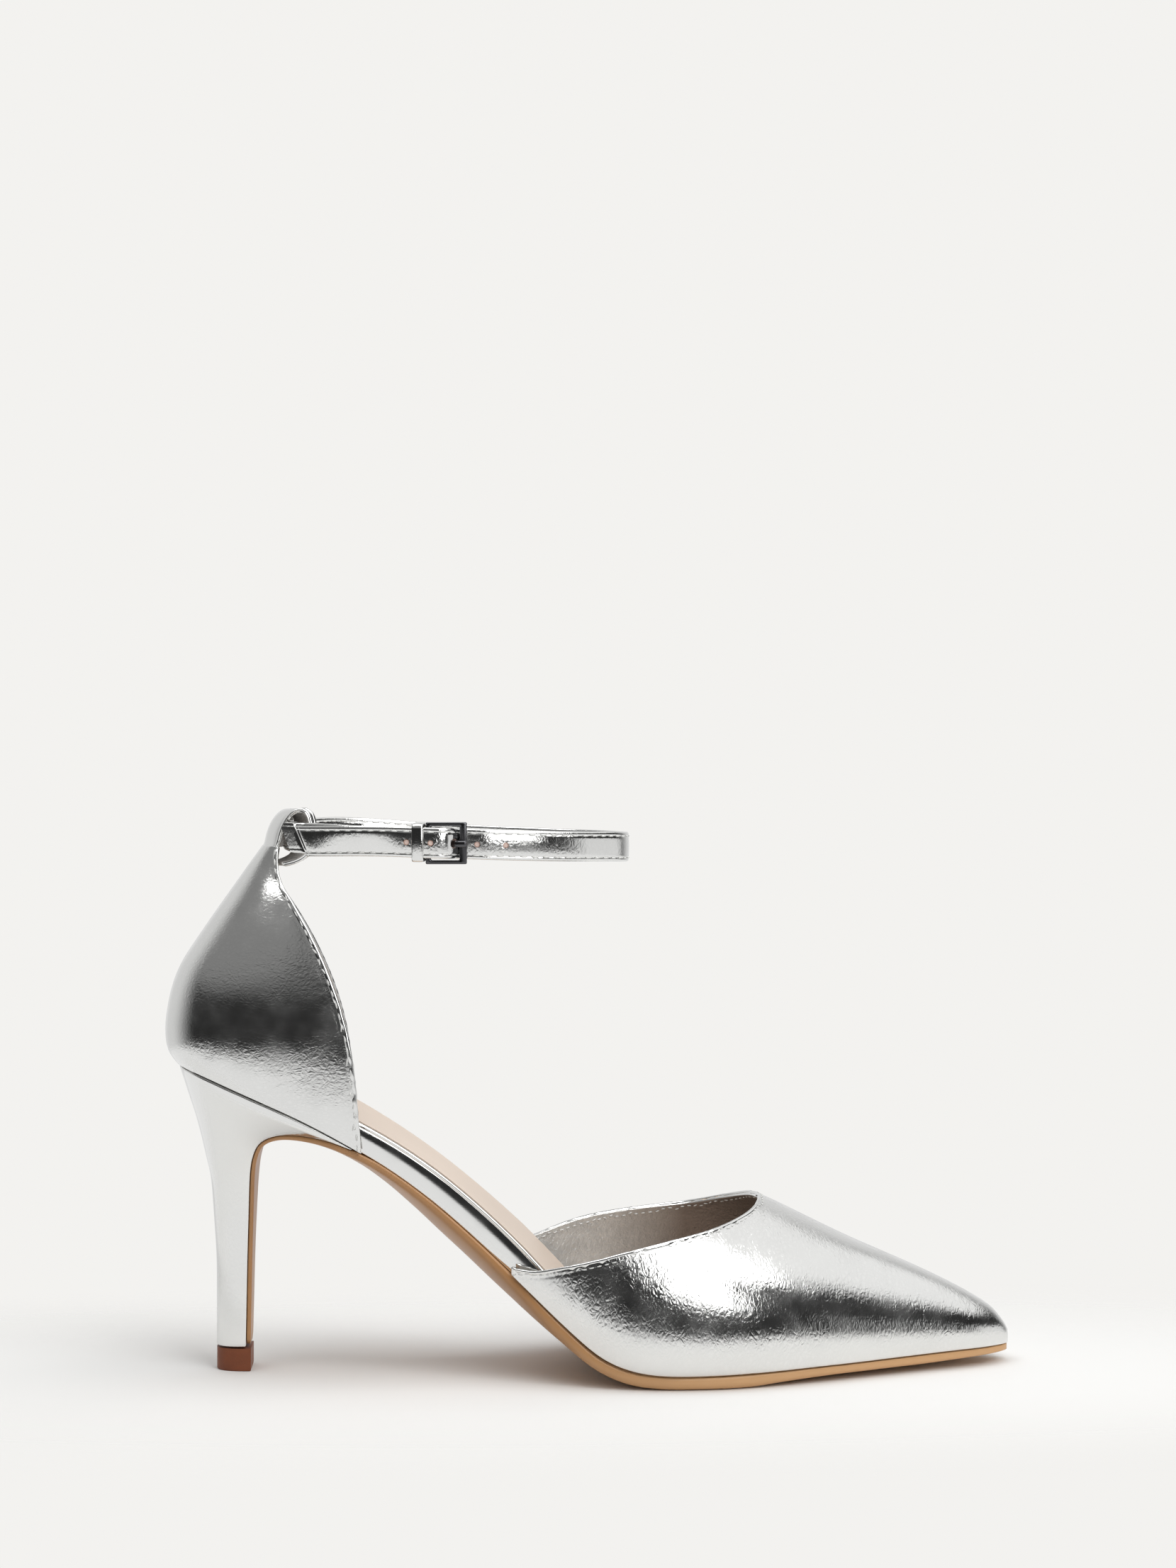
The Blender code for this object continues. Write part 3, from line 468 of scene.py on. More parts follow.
def strap_path(step, near_end):
    """Stations along the ankle strap by the length run so far, with closer ones at the tail's end."""
    lengths = run_lengths(STRAP)
    table = [Run(run, *spot) for run, spot in zip(lengths, STRAP)]
    count = round(lengths[-1] / step)
    runs = [lengths[-1] * i / count for i in range(count + 1)]
    runs = [run for run in runs if run < lengths[-1] - near_end[0] - step / 2]
    runs += [lengths[-1] - ahead for ahead in near_end]
    rows = [row_at(table, run) for run in runs]
    return [(row.x, row.y, row.z) for row in rows]


def round_shares(steps):
    """Shares from 1 in front to 0 at a round back, closer together at the back."""
    return [1 - math.sin(math.pi / 2 * step / steps) for step in range(steps + 1)]


# Meshes


def in_metres(rings):
    """Rings of shoemaker's points as rings of points in metres."""
    return [[point(*spot) for spot in ring] for ring in rings]


def place_grid(rings, closed, uv_size):
    """A bmesh of Blender's own grid laid over rings of points, with a UV map in metres."""
    count = len(rings[0])
    across, along = (count if closed else count - 1), len(rings) - 1
    form = bmesh.new()
    uv = form.loops.layers.uv.new("UVMap")
    bmesh.ops.create_grid(form, x_segments=across, y_segments=along, size=0.5)
    for face in form.faces:
        for loop in face.loops:
            loop[uv].uv = ((loop.vert.co.x + 0.5) * uv_size[0], (loop.vert.co.y + 0.5) * uv_size[1])
    for vert in form.verts:
        i, j = round((vert.co.x + 0.5) * across), round((vert.co.y + 0.5) * along)
        vert.co = rings[j][i % count]
    return form


def finish_mesh(name, form, slots, angle=50):
    """A smooth-shaded object at the origin from a bmesh."""
    mesh = bpy.data.meshes.new(name)
    form.to_mesh(mesh)
    form.free()
    mesh.shade_smooth()
    mesh.set_sharp_from_angle(angle=math.radians(angle))
    for material in slots:
        mesh.materials.append(material)
    piece = bpy.data.objects.new(name, mesh)
    bpy.context.scene.collection.objects.link(piece)
    return piece


def closed_form(rings, uv_size, capped=True):
    """A closed shell over rings of points, its ends filled if it is capped."""
    form = place_grid(rings, True, uv_size)
    bmesh.ops.remove_doubles(form, verts=form.verts, dist=2e-6)
    if capped:
        open_edges = [edge for edge in form.edges if edge.is_boundary]
        bmesh.ops.holes_fill(form, edges=open_edges, sides=0)
    bmesh.ops.recalc_face_normals(form, faces=form.faces)
    return form


def subdivide(piece, levels):
    """Round a piece off with a Subdivision Surface."""
    smooth = piece.modifiers.new("round", "SUBSURF")
    smooth.levels = smooth.render_levels = levels
    return piece


def wall(piece, thickness, inner_slot, rim_slot):
    """Give a skin its wall inwards of its faces."""
    solid = piece.modifiers.new("wall", "SOLIDIFY")
    solid.thickness = thickness * MM
    solid.offset = -1.0
    solid.material_offset = inner_slot
    solid.material_offset_rim = rim_slot
    return piece


def apply_all(piece):
    """Turn a piece's modifiers into its own mesh."""
    bpy.context.view_layer.update()
    graph = bpy.context.evaluated_depsgraph_get()
    mesh = bpy.data.meshes.new_from_object(piece.evaluated_get(graph))
    piece.modifiers.clear()
    old, piece.data = piece.data, mesh
    bpy.data.meshes.remove(old)
    mesh.name = piece.name
    mesh.shade_smooth()
    return piece


def surface_of(piece):
    """A tree for finding the nearest place on a piece's own mesh."""
    piece.data.calc_loop_triangles()
    corners = [tuple(face.vertices) for face in piece.data.loop_triangles]
    return BVHTree.FromPolygons([vert.co for vert in piece.data.vertices], corners)


def write_distance(piece, name, lines):
    """Store each point's distance in millimetres from the nearest of some lines."""
    spots = [point(*spot) for line in lines for spot in even_line(line, 0.5)]
    tree = KDTree(len(spots))
    for index, spot in enumerate(spots):
        tree.insert(spot, index)
    tree.balance()
    values = [tree.find(vert.co)[2] / MM for vert in piece.data.vertices]
    attribute = piece.data.attributes.new(name, "FLOAT", "POINT")
    attribute.data.foreach_set("value", values)
    return piece


def direction(line, index):
    """Which way a line in metres runs at one of its points."""
    return (line[min(index + 1, len(line) - 1)] - line[max(index - 1, 0)]).normalized()


def square_to(along, out):
    """A direction turned square to another one."""
    return (out - along * out.dot(along)).normalized()


def frames_along(line, out_of):
    """Each point of a line in metres with its direction and its outward direction."""
    result = []
    for index, spot in enumerate(line):
        along = direction(line, index)
        result.append((spot, along, square_to(along, out_of(index, along))))
    return result


def oval(half_wide, half_high, sides=10):
    """A rounded section for a sweep, as offsets across and outwards."""
    turns = [2 * math.pi * i / sides for i in range(sides)]
    return [(half_wide * math.cos(turn), half_high * math.sin(turn)) for turn in turns]


def sweep_form(stations, section, looped=False, taper=1.0):
    """A closed shell that carries a section along stations; taper narrows its two ends."""
    rings = []
    last = len(stations) - 1
    for index, (spot, along, out) in enumerate(stations):
        across = along.cross(out)
        size = taper if index in (0, last) and not looped else 1.0
        rings.append([spot + (across * a + out * b) * MM * size for a, b in section])
    if looped:
        rings.append(rings[0])
    length = run_lengths([station[0] for station in stations])[-1]
    girth = run_lengths(list(section) + [section[0]])[-1] * MM
    return closed_form(rings, (girth, length), capped=not looped)


def stitch_form(form, line, out_of, pitch, length, thick, sink=0.25):
    """Add a row of stitches, each a small grain of thread, along a line in metres."""
    lengths = run_lengths(line)
    count = int(lengths[-1] / (pitch * MM))
    for number in range(count):
        middle = (number + 0.5) * lengths[-1] / count
        spot = Vector(spot_along(line, lengths, middle))
        ahead = Vector(spot_along(line, lengths, middle + length * MM / 2))
        behind = Vector(spot_along(line, lengths, middle - length * MM / 2))
        along = (ahead - behind).normalized()
        out = square_to(along, out_of(spot))
        turn = Matrix((along, out.cross(along), out)).transposed().to_4x4()
        size = Matrix.Diagonal((length * MM / 2, thick * MM / 2, thick * MM / 2, 1.0))
        place = Matrix.Translation(spot + out * (thick * (0.5 - sink) * MM))
        bmesh.ops.create_icosphere(form, subdivisions=1, radius=1.0, matrix=place @ turn @ size)
    return form


def offset_on(tree, line, distance, toward):
    """A line in metres moved sideways over a surface, to the side where toward lies."""
    result = []
    sign = None
    for index, spot in enumerate(line):
        near, normal = tree.find_nearest(spot)[:2]
        aside = normal.cross(direction(line, index)).normalized()
        if sign is None:
            sign = 1.0 if aside.dot(toward) > 0 else -1.0
        result.append(tree.find_nearest(near + aside * (sign * distance * MM))[0])
    return result


def line_inside(tree, line, thickness):
    """A line on the inner face of a skin's wall, under one on its outer face."""
    result = []
    for spot in line:
        normal = tree.find_nearest(spot)[1]
        result.append(tree.find_nearest(spot - normal * (thickness + PAST_WALL) * MM)[0])
    return result


# Settings


def colour_setting(name, description, default):
    """A colour for the panel."""
    return FloatVectorProperty(
        name=name, description=description, subtype="COLOR", size=3, min=0.0, max=1.0, default=default,
    )


def number_setting(name, description, default, low, high, subtype="DISTANCE"):
    """A length or another number for the panel."""
    return FloatProperty(
        name=name, description=description, default=default, min=low, max=high, subtype=subtype,
    )


class PumpLeatherSettings(bpy.types.PropertyGroup):
    """Silver foil leather and its linings."""

    silver: colour_setting("Silver", "Colour of the foil", (0.80, 0.80, 0.785))
    gloss_roughness: number_setting(
        "Foil roughness", "How blurred the foil's reflections are", 0.15, 0.02, 0.6, "NONE",
    )
    crease_size: number_setting(
        "Crease size", "Usual distance between fine creases", 0.0010, 0.0003, 0.01,
    )
    lining: colour_setting("Lining", "Colour of the silver grey lining", (0.74, 0.735, 0.71))
    # Painted shade of the lining deep in the forepart; the counter lining also uses it as its mottle's dark
    # tone
    lining_mottle_and_shade: colour_setting(
        "Lining at the toe", "Colour of the lining deep in the forepart", (0.24, 0.20, 0.175),
    )
    sock: colour_setting("Sock lining", "Colour of the insole's cover", (0.74, 0.62, 0.52))


class PumpStitchSettings(bpy.types.PropertyGroup):
    """Rows of stitches."""

    topline_pitch: number_setting(
        "Topline pitch", "From stitch to stitch round the throat", 0.0021, 0.001, 0.006,
    )
    quarter_pitch: number_setting(
        "Quarter pitch", "From stitch to stitch on the quarter's front edges", 0.0032, 0.001, 0.006,
    )
    strap_pitch: number_setting(
        "Strap pitch", "From stitch to stitch along the strap", 0.0033, 0.001, 0.006,
    )
    thread: number_setting("Thread", "Thickness of the thread", 0.0005, 0.0002, 0.001)
    edge_inset: number_setting(
        "Edge inset", "From a folded edge to its row of stitches", 0.0019, 0.0005, 0.005,
    )


class PumpBottomSettings(bpy.types.PropertyGroup):
    """Sole, heel tip and metal."""

    sole: colour_setting("Sole", "Colour of the tan sole", (0.46, 0.235, 0.095))
    # Lighter tan of the forepart's low edge, partly the edge's own tone and partly painted light
    sole_edge_and_light: colour_setting("Sole edge", "Lighter tan of the forepart's edge", (0.62, 0.36, 0.17))
    tip: colour_setting("Heel tip", "Colour of the heel's wearing piece", (0.26, 0.07, 0.022))
    metal: colour_setting("Buckle", "Colour of the gunmetal buckle", (0.10, 0.10, 0.105))


class PumpStageSettings(bpy.types.PropertyGroup):
    """Floor, lights and camera."""

    paper: colour_setting("Paper", "Colour of the pale floor", (0.815, 0.812, 0.798))
    backdrop: colour_setting("Backdrop", "Colour behind the shoe", (0.896, 0.887, 0.866))
    overhead_power: number_setting("Overhead", "Power of the softbox above", 5.6, 0.0, 100.0, "POWER")
    front_power: number_setting("Front", "Power of the softboxes in front", 2.2, 0.0, 100.0, "POWER")
    camera_distance: number_setting(
        "Camera distance", "From the camera to the shoe's middle", 0.78, 0.2, 5.0,
    )
    camera_height: number_setting("Camera height", "Height of the level camera", 0.1652, 0.0, 2.0)
    camera_turn: number_setting(
        "Camera turn", "How far the camera is turned to the toe", math.radians(2.8), -1.0, 1.0, "ANGLE",
    )
    focal_length: number_setting(
        "Focal length", "Lens for a 36 mm high picture", 62.84, 10.0, 300.0, "NONE",
    )
    floor_reach: number_setting(
        "Floor reach", "Radius at which the floor fades into the backdrop", 0.42, 0.3, 10.0,
    )


# Materials


# One kind of foil: strength of its creases and its waves, stretch of their pattern and its turn
# about Y, attribute with the distance from a folded edge, place of the stitches, roughness
Foil = namedtuple(
    "Foil", "crease wave stretch turn edge place gloss", defaults=((1.0, 1.0, 1.0), 0.0, None, 1.9, 1.0),
)
FOILS = {
    "vamp": Foil(2.1, 0.6, (0.95, 0.7, 0.55), math.radians(24), "topline_mm"),
    "edge": Foil(0.25, 0.3),
    "counter": Foil(1.25, 0.6, (0.7, 0.7, 1.0), edge="front_mm"),
    "loop": Foil(0.5, 0.4, (1.0, 1.0, 1.4), edge="side_mm", place=1.0),
    "strap": Foil(1.25, 1.2, (0.9, 0.9, 0.65), math.radians(-35), gloss=0.75),
    "keeper": Foil(0.5, 0.6, gloss=0.4),
    "board": Foil(0.14, 0.3, (0.8, 0.8, 1.2), gloss=0.7),
    "heel": Foil(0.16, 0.9, (1.0, 1.0, 0.5), gloss=0.5),
}
FOIL_RELIEF = 0.000035
CHANNEL_DEPTH = 0.8
CHANNEL_WIDTH = 0.5
# How much darker the foil is painted along its creases, as painted shade
CREASE_SHADE = 0.12


def new_group(name, inputs, outputs):
    """An empty shader node group with named sockets."""
    tree = bpy.data.node_groups.new(name, "ShaderNodeTree")
    for label, kind, value in inputs:
        socket = tree.interface.new_socket(name=label, in_out="INPUT", socket_type="NodeSocket" + kind)
        if value is not None:
            socket.default_value = value
    for label, kind in outputs:
        tree.interface.new_socket(name=label, in_out="OUTPUT", socket_type="NodeSocket" + kind)
    return tree, tree.nodes.new("NodeGroupInput").outputs, tree.nodes.new("NodeGroupOutput")


def feed(tree, node, values):
    """Link a node's inputs to outputs, or set them to numbers, colours or vectors."""
    for label, value in dict(values).items():
        if isinstance(value, bpy.types.NodeSocket):
            tree.links.new(value, node.inputs[label])
        else:
            node.inputs[label].default_value = value


def make_node(tree, kind, values=(), **settings):
    """A shader node with its settings and its inputs."""
    node = tree.nodes.new("ShaderNode" + kind)
    for label, value in settings.items():
        setattr(node, label, value)
    feed(tree, node, values)
    return node


def math_node(tree, operation, *values):
    """A Math node's result for sockets or numbers."""
    return make_node(tree, "Math", enumerate(values), operation=operation).outputs[0]


def noise_node(tree, vector, scale, detail=2.0, rough=0.5, distort=0.0):
    """A Noise Texture's value."""
    return make_node(tree, "TexNoise", {
        "Vector": vector, "Scale": scale, "Detail": detail, "Roughness": rough, "Distortion": distort,
    }).outputs["Fac"]


def range_node(tree, value, low, high, to_low=0.0, to_high=1.0, kind="LINEAR"):
    """A value mapped from one range to another."""
    return make_node(tree, "MapRange", {
        "Value": value, "From Min": low, "From Max": high, "To Min": to_low, "To Max": to_high,
    }, interpolation_type=kind).outputs[0]


def mix_node(tree, factor, first, second):
    """A colour between two others."""
    mix = make_node(tree, "Mix", {"Factor": factor, "A": first, "B": second}, data_type="RGBA")
    return mix.outputs["Result"]


def mapped(tree, source, scale, turn=0.0):
    """Coordinates stretched, and turned about Y."""
    return make_node(tree, "Mapping", {
        "Vector": source, "Scale": scale, "Rotation": (0.0, turn, 0.0),
    }).outputs["Vector"]


def bump_node(tree, height, strength, distance):
    """A Bump node's normal."""
    return make_node(tree, "Bump", {
        "Height": height, "Strength": strength, "Distance": distance,
    }).outputs["Normal"]


def foil_crackle_group():
    """Fine creases of coated leather: a height and a mask of the creases."""
    if "Foil Crackle" in bpy.data.node_groups:
        return bpy.data.node_groups["Foil Crackle"]
    tree, given, result = new_group(
        "Foil Crackle",
        [("Vector", "Vector", None), ("Density", "Float", 900.0), ("Crease", "Float", 1.0),
         ("Wave", "Float", 1.0)],
        [("Height", "Float"), ("Crease Mask", "Float")],
    )
    vector, density = given["Vector"], given["Density"]
    warp = make_node(tree, "TexNoise", {
        "Vector": vector, "Scale": math_node(tree, "MULTIPLY", density, 0.45), "Detail": 2.0,
    })
    spread = make_node(tree, "VectorMath", {
        0: warp.outputs["Color"], 1: (0.0022, 0.0022, 0.0022), 2: vector,
    }, operation="MULTIPLY_ADD").outputs[0]
    cells = make_node(tree, "TexVoronoi", {"Vector": spread, "Scale": density}, feature="DISTANCE_TO_EDGE")
    line = range_node(tree, cells.outputs["Distance"], 0.0, 0.4)
    ridged = noise_node(tree, spread, math_node(tree, "MULTIPLY", density, 0.62), 3.0, 0.5, 0.6)
    patch = range_node(tree, noise_node(tree, vector, 55.0), 0.35, 0.62, 0.35)
    fold = math_node(tree, "ABSOLUTE", math_node(tree, "SUBTRACT", ridged, 0.5))
    grain = math_node(tree, "MULTIPLY_ADD", fold, 1.7, math_node(tree, "MULTIPLY", line, 0.45))
    grain = math_node(tree, "MULTIPLY", grain, patch)
    height = math_node(tree, "MULTIPLY", grain, given["Crease"])
    swell = math_node(tree, "MULTIPLY", noise_node(tree, vector, 48.0, 1.0, 0.4), given["Wave"])
    mask = math_node(tree, "MULTIPLY", math_node(tree, "SUBTRACT", 1.0, line), patch)
    feed(tree, result, {"Height": math_node(tree, "ADD", height, swell), "Crease Mask": mask})
    return tree


def stitch_channel_group():
    """The shallow channel that a row of stitches pulls into leather, from a distance in millimetres."""
    if "Stitch Channel" in bpy.data.node_groups:
        return bpy.data.node_groups["Stitch Channel"]
    tree, given, result = new_group(
        "Stitch Channel",
        [("Distance", "Float", 0.0), ("Place", "Float", 1.9), ("Width", "Float", 0.7)],
        [("Height", "Float")],
    )
    away = math_node(tree, "SUBTRACT", given["Distance"], given["Place"])
    away = math_node(tree, "DIVIDE", away, given["Width"])
    square = math_node(tree, "MULTIPLY", away, away)
    drop = math_node(tree, "EXPONENT", math_node(tree, "MULTIPLY", square, -1.0))
    feed(tree, result, {"Height": math_node(tree, "MULTIPLY", drop, -1.0)})
    return tree


def mottle_group():
    """Two tones of one colour in soft clouds, with a fine grain as height."""
    if "Mottle" in bpy.data.node_groups:
        return bpy.data.node_groups["Mottle"]
    tree, given, result = new_group(
        "Mottle",
        [("Vector", "Vector", None), ("Light", "Color", (1, 1, 1, 1)), ("Dark", "Color", (0, 0, 0, 1)),
         ("Scale", "Float", 60.0), ("Grain", "Float", 1200.0)],
        [("Color", "Color"), ("Height", "Float")],
    )
    cloud = noise_node(tree, given["Vector"], given["Scale"], 3.0, 0.55)
    grain = noise_node(tree, given["Vector"], given["Grain"], 3.0, 0.6)
    feed(tree, result, {"Color": mix_node(tree, cloud, given["Light"], given["Dark"]), "Height": grain})
    return tree


def mottled(tree, where, light, dark, scale, grain):
    """The Mottle group's colour and height for two colours."""
    return make_node(tree, "Group", {
        "Vector": where, "Light": light, "Dark": dark, "Scale": scale, "Grain": grain,
    }, node_tree=mottle_group()).outputs


def new_material(name):
    """A material with its node tree, its Principled shader and its Object coordinates."""
    material = bpy.data.materials.new(name)
    material.use_nodes = True
    tree = material.node_tree
    return material, tree, tree.nodes["Principled BSDF"], make_node(tree, "TexCoord").outputs["Object"]


def shade(rgb, factor=1.0):
    """A colour with full alpha, made lighter or darker."""
    return (*[min(1.0, channel * factor) for channel in rgb], 1.0)


def foil_material(part, settings):
    """The silver foil leather of one part."""
    foil = FOILS[part]
    material, tree, shader, where = new_material("silver_foil_" + part)
    crackle = make_node(tree, "Group", {
        "Vector": mapped(tree, where, foil.stretch, foil.turn), "Density": 1.0 / settings.crease_size,
        "Crease": foil.crease, "Wave": foil.wave,
    }, node_tree=foil_crackle_group())
    height = crackle.outputs["Height"]
    if foil.edge:
        away = make_node(tree, "Attribute", attribute_name=foil.edge)
        channel = make_node(tree, "Group", {
            "Distance": away.outputs["Fac"], "Place": foil.place, "Width": CHANNEL_WIDTH,
        }, node_tree=stitch_channel_group())
        height = math_node(tree, "MULTIPLY_ADD", channel.outputs["Height"], CHANNEL_DEPTH, height)
    # Painted shade: the foil's colour is mixed towards a darker silver along its creases
    tone = CREASE_SHADE * min(1.0, foil.crease)
    crease_shade = math_node(tree, "MULTIPLY", crackle.outputs["Crease Mask"], tone)
    rough = settings.gloss_roughness * foil.gloss
    feed(tree, shader, {
        "Base Color": mix_node(tree, crease_shade, shade(settings.silver), shade(settings.silver, 0.55)),
        "Roughness": range_node(tree, noise_node(tree, where, 140.0), 0.3, 0.7, rough * 0.8, rough * 1.5),
        "Normal": bump_node(tree, height, 1.0, FOIL_RELIEF),
        "Metallic": 1.0,
    })
    return material


def soft_material(name, light, dark, roughness, scale=60.0, grain=1200.0, depth=0.00008, metallic=0.0):
    """A matte or satin surface with two tones and a fine grain."""
    material, tree, shader, where = new_material(name)
    mottle = mottled(tree, where, shade(light), shade(dark), scale, grain)
    feed(tree, shader, {
        "Base Color": mottle["Color"], "Normal": bump_node(tree, mottle["Height"], 0.6, depth),
        "Roughness": roughness, "Metallic": metallic,
    })
    return material


def lining_material(settings):
    """Silver grey lining with painted shade that darkens it towards the toe."""
    material, tree, shader, where = new_material("lining_silver_grey")
    mottle = mottled(tree, where, shade(settings.lining, 1.3), shade(settings.lining, 0.8), 260.0, 900.0)
    axes = make_node(tree, "SeparateXYZ", {0: where}).outputs
    # Painted shade: the lining is mixed towards a dark colour deep in the forepart, where the vamp shades it
    toe_shade_mask = range_node(tree, axes["X"], 0.003, 0.03)
    feed(tree, shader, {
        "Base Color": mix_node(tree, toe_shade_mask, mottle["Color"], shade(settings.lining_mottle_and_shade)),
        "Normal": bump_node(tree, mottle["Height"], 1.0, 0.0003), "Roughness": 0.38, "Metallic": 0.55,
    })
    return material


def sole_material(bottom):
    """Tan leather, lighter at the forepart's low edge and browner under the arch, partly its own tone and
    partly painted light and shade.
    """
    material, tree, shader, where = new_material("sole_tan_leather")
    mottle = mottled(tree, where, shade(bottom.sole, 1.12), shade(bottom.sole, 0.82), 70.0, 1400.0)
    axes = make_node(tree, "SeparateXYZ", {0: where}).outputs
    # Partly the leather's own tone and partly painted light and shade: the forepart's low edge is lighter,
    # the downward-facing arch and breast browner
    low = range_node(tree, axes["Z"], 0.03, 0.006)
    fore = range_node(tree, axes["X"], -0.02, 0.03)
    edge_light_mask = math_node(tree, "MULTIPLY", low, fore)
    feed(tree, shader, {
        "Base Color": mix_node(tree, edge_light_mask, mottle["Color"], shade(bottom.sole_edge_and_light)),
        "Normal": bump_node(tree, mottle["Height"], 0.5, 0.00006), "Roughness": 0.36,
    })
    return material


def metal_material(settings):
    """Dark polished gunmetal with faint rubbing."""
    material, tree, shader, where = new_material("gunmetal_polished")
    rub = noise_node(tree, where, 700.0, 3.0, 0.6)
    feed(tree, shader, {
        "Base Color": shade(settings.metal), "Roughness": range_node(tree, rub, 0.0, 1.0, 0.1, 0.26),
        "Metallic": 1.0,
    })
    return material


# Forms of the shoe's pieces


def join_forms(form, other):
    """Add another bmesh to this one."""
    mesh = bpy.data.meshes.new("joined")
    other.to_mesh(mesh)
    other.free()
    form.from_mesh(mesh)
    bpy.data.meshes.remove(mesh)
    return form


def face_outwards(form, centre, counted):
    """Turn an open skin's faces away from a centre, measured only in the counted directions."""
    form.normal_update()
    total = 0.0
    for face in form.faces:
        total += face.normal.dot((face.calc_center_median() - centre) * Vector(counted))
    if total < 0:
        bmesh.ops.reverse_faces(form, faces=form.faces)
    return form


def edge_columns(length, count, both):
    """Lengths along a section, close together near its free edge or edges."""
    near = [step * min(1.0, length / EDGE_ROOM) for step in EDGE_STEPS]
    low = near if both else [0.0, near[1] * 2]
    inner = [blend(low[-1], length - near[-1], i / count) for i in range(1, count)]
    return low + inner + [length - step for step in reversed(near)]


def vamp_section(x, side):
    """The upper's outside at one station, from the feather line to its free edge or ridge."""
    row, last = row_at(VAMP, x), row_at(LAST, x)
    top = edge_share(row, last, row.lateral_edge if side < 0 else row.medial_edge)
    return [vamp_spot(row, last, side, top * i / VAMP_PARTS) for i in range(VAMP_PARTS + 1)]


def vamp_stations():
    """Stations of the forepart from its wings to the toe."""
    tip = TOE_TIP_X + UPPER_WALL
    return list(VAMP_STEPS) + [TOE_CENTRE_X] + round_end(TOE_CENTRE_X, tip, 7)


def vamp_form():
    """Both halves of the forepart, welded along the ridge and the toe."""
    form = None
    for side in (-1, 1):
        rings = []
        for x in vamp_stations():
            section = vamp_section(x, side)
            lengths = run_lengths(section)
            columns = edge_columns(lengths[-1], 9, False)
            rings.append([spot_along(section, lengths, run) for run in columns])
        half = place_grid(in_metres(rings), False, (0.06, 0.15))
        form = half if form is None else join_forms(form, half)
        bmesh.ops.recalc_face_normals(form, faces=form.faces)
    bmesh.ops.remove_doubles(form, verts=form.verts, dist=1e-5)
    bmesh.ops.recalc_face_normals(form, faces=form.faces)
    return face_outwards(form, point(0, 0, 20), (0, 1, 1))


def topline():
    """The throat's edge from the lateral wing round the front to the medial wing."""
    xs = [x for x in VAMP_STEPS if x <= THROAT_X]
    lateral = [vamp_section(x, -1)[-1] for x in xs]
    medial = [vamp_section(x, 1)[-1] for x in xs]
    return soft_line(lateral + medial[-2::-1], 6)


def counter_rings():
    """U-shaped rows of the quarter from its lateral front edge round the heel to its medial one."""
    first = COUNTER[0]
    rings = []
    rows = rows_between(COUNTER, 2)
    rows.insert(-1, rows_between(COUNTER[-2:], 10)[-2])
    rows.insert(1, rows_between(COUNTER[:2], 24)[1])
    for row in rows:
        spots = []
        for side in (-1, 1):
            part = []
            reach_x = row.front_x - row.back_x
            full = 1.0 if side < 0 else 1 - MEDIAL_SETBACK / reach_x
            for share in round_shares(COUNTER_STEPS):
                share *= full
                x = row.back_x + reach_x * share
                half = round_back(row, x, COUNTER_POWER) * blend(1.0, seat_taper(x, side), row.seat)
                first_x = blend(first.back_x, first.front_x, share)
                bow = row_at(LAST, first_x).feather - blend(first.back_z, first.front_z, share)
                part.append((x, side * half, blend(row.back_z, row.front_z, share) + bow * row.seat))
            spots.extend(part if side < 0 else part[-2::-1])
        lengths = run_lengths(spots)
        rings.append([spot_along(spots, lengths, run) for run in edge_columns(lengths[-1], 18, True)])
    return rings


def loop_rings():
    """Rows across the folded strip, bowed forward at their ends."""
    rings = []
    for fold in rows_between(BACK_LOOP, 2):
        rings.append([(fold.x + LOOP_SAG * a * a, fold.half * a, fold.z) for a in LOOP_ACROSS])
    return rings


def bed_rings(inset, low, high, lip):
    """Sections of a board or sock along the foot bed, with a groove under its rounded upper edge."""
    back = round_end(SEAT_CENTRE_X, SEAT_BACK_X + inset + 0.25, 10)
    toe = round_end(TOE_CENTRE_X, TOE_TIP_X - inset - 0.25, 7)
    middle = [SEAT_CENTRE_X + BED_STEP * i for i in range(1, 56)]
    rings = []
    for x in back[::-1] + [SEAT_CENTRE_X] + middle + [TOE_CENTRE_X] + toe:
        normal_x, normal_z = bed_slope(x)
        row = row_at(LAST, x)
        bottom, top = low(row), high(row)
        profile = [(lip * inward, bottom + lip * rise) for inward, rise in RIM_LOW]
        profile.append((lip * RIM_MIDDLE, blend(bottom, top, 0.5)))
        profile += [(lip * inward, top - lip * drop) for inward, drop in RIM_HIGH]
        ring = []
        for side in (-1, 1):
            part = []
            for inward, level in profile:
                spot_x = x + normal_x * level
                half = max(last_half_width(spot_x, side, inset) - inward, 0.2)
                part.append((spot_x, side * half, row.feather + normal_z * level))
            ring.extend(part if side < 0 else part[::-1])
        rings.append(ring)
    return rings


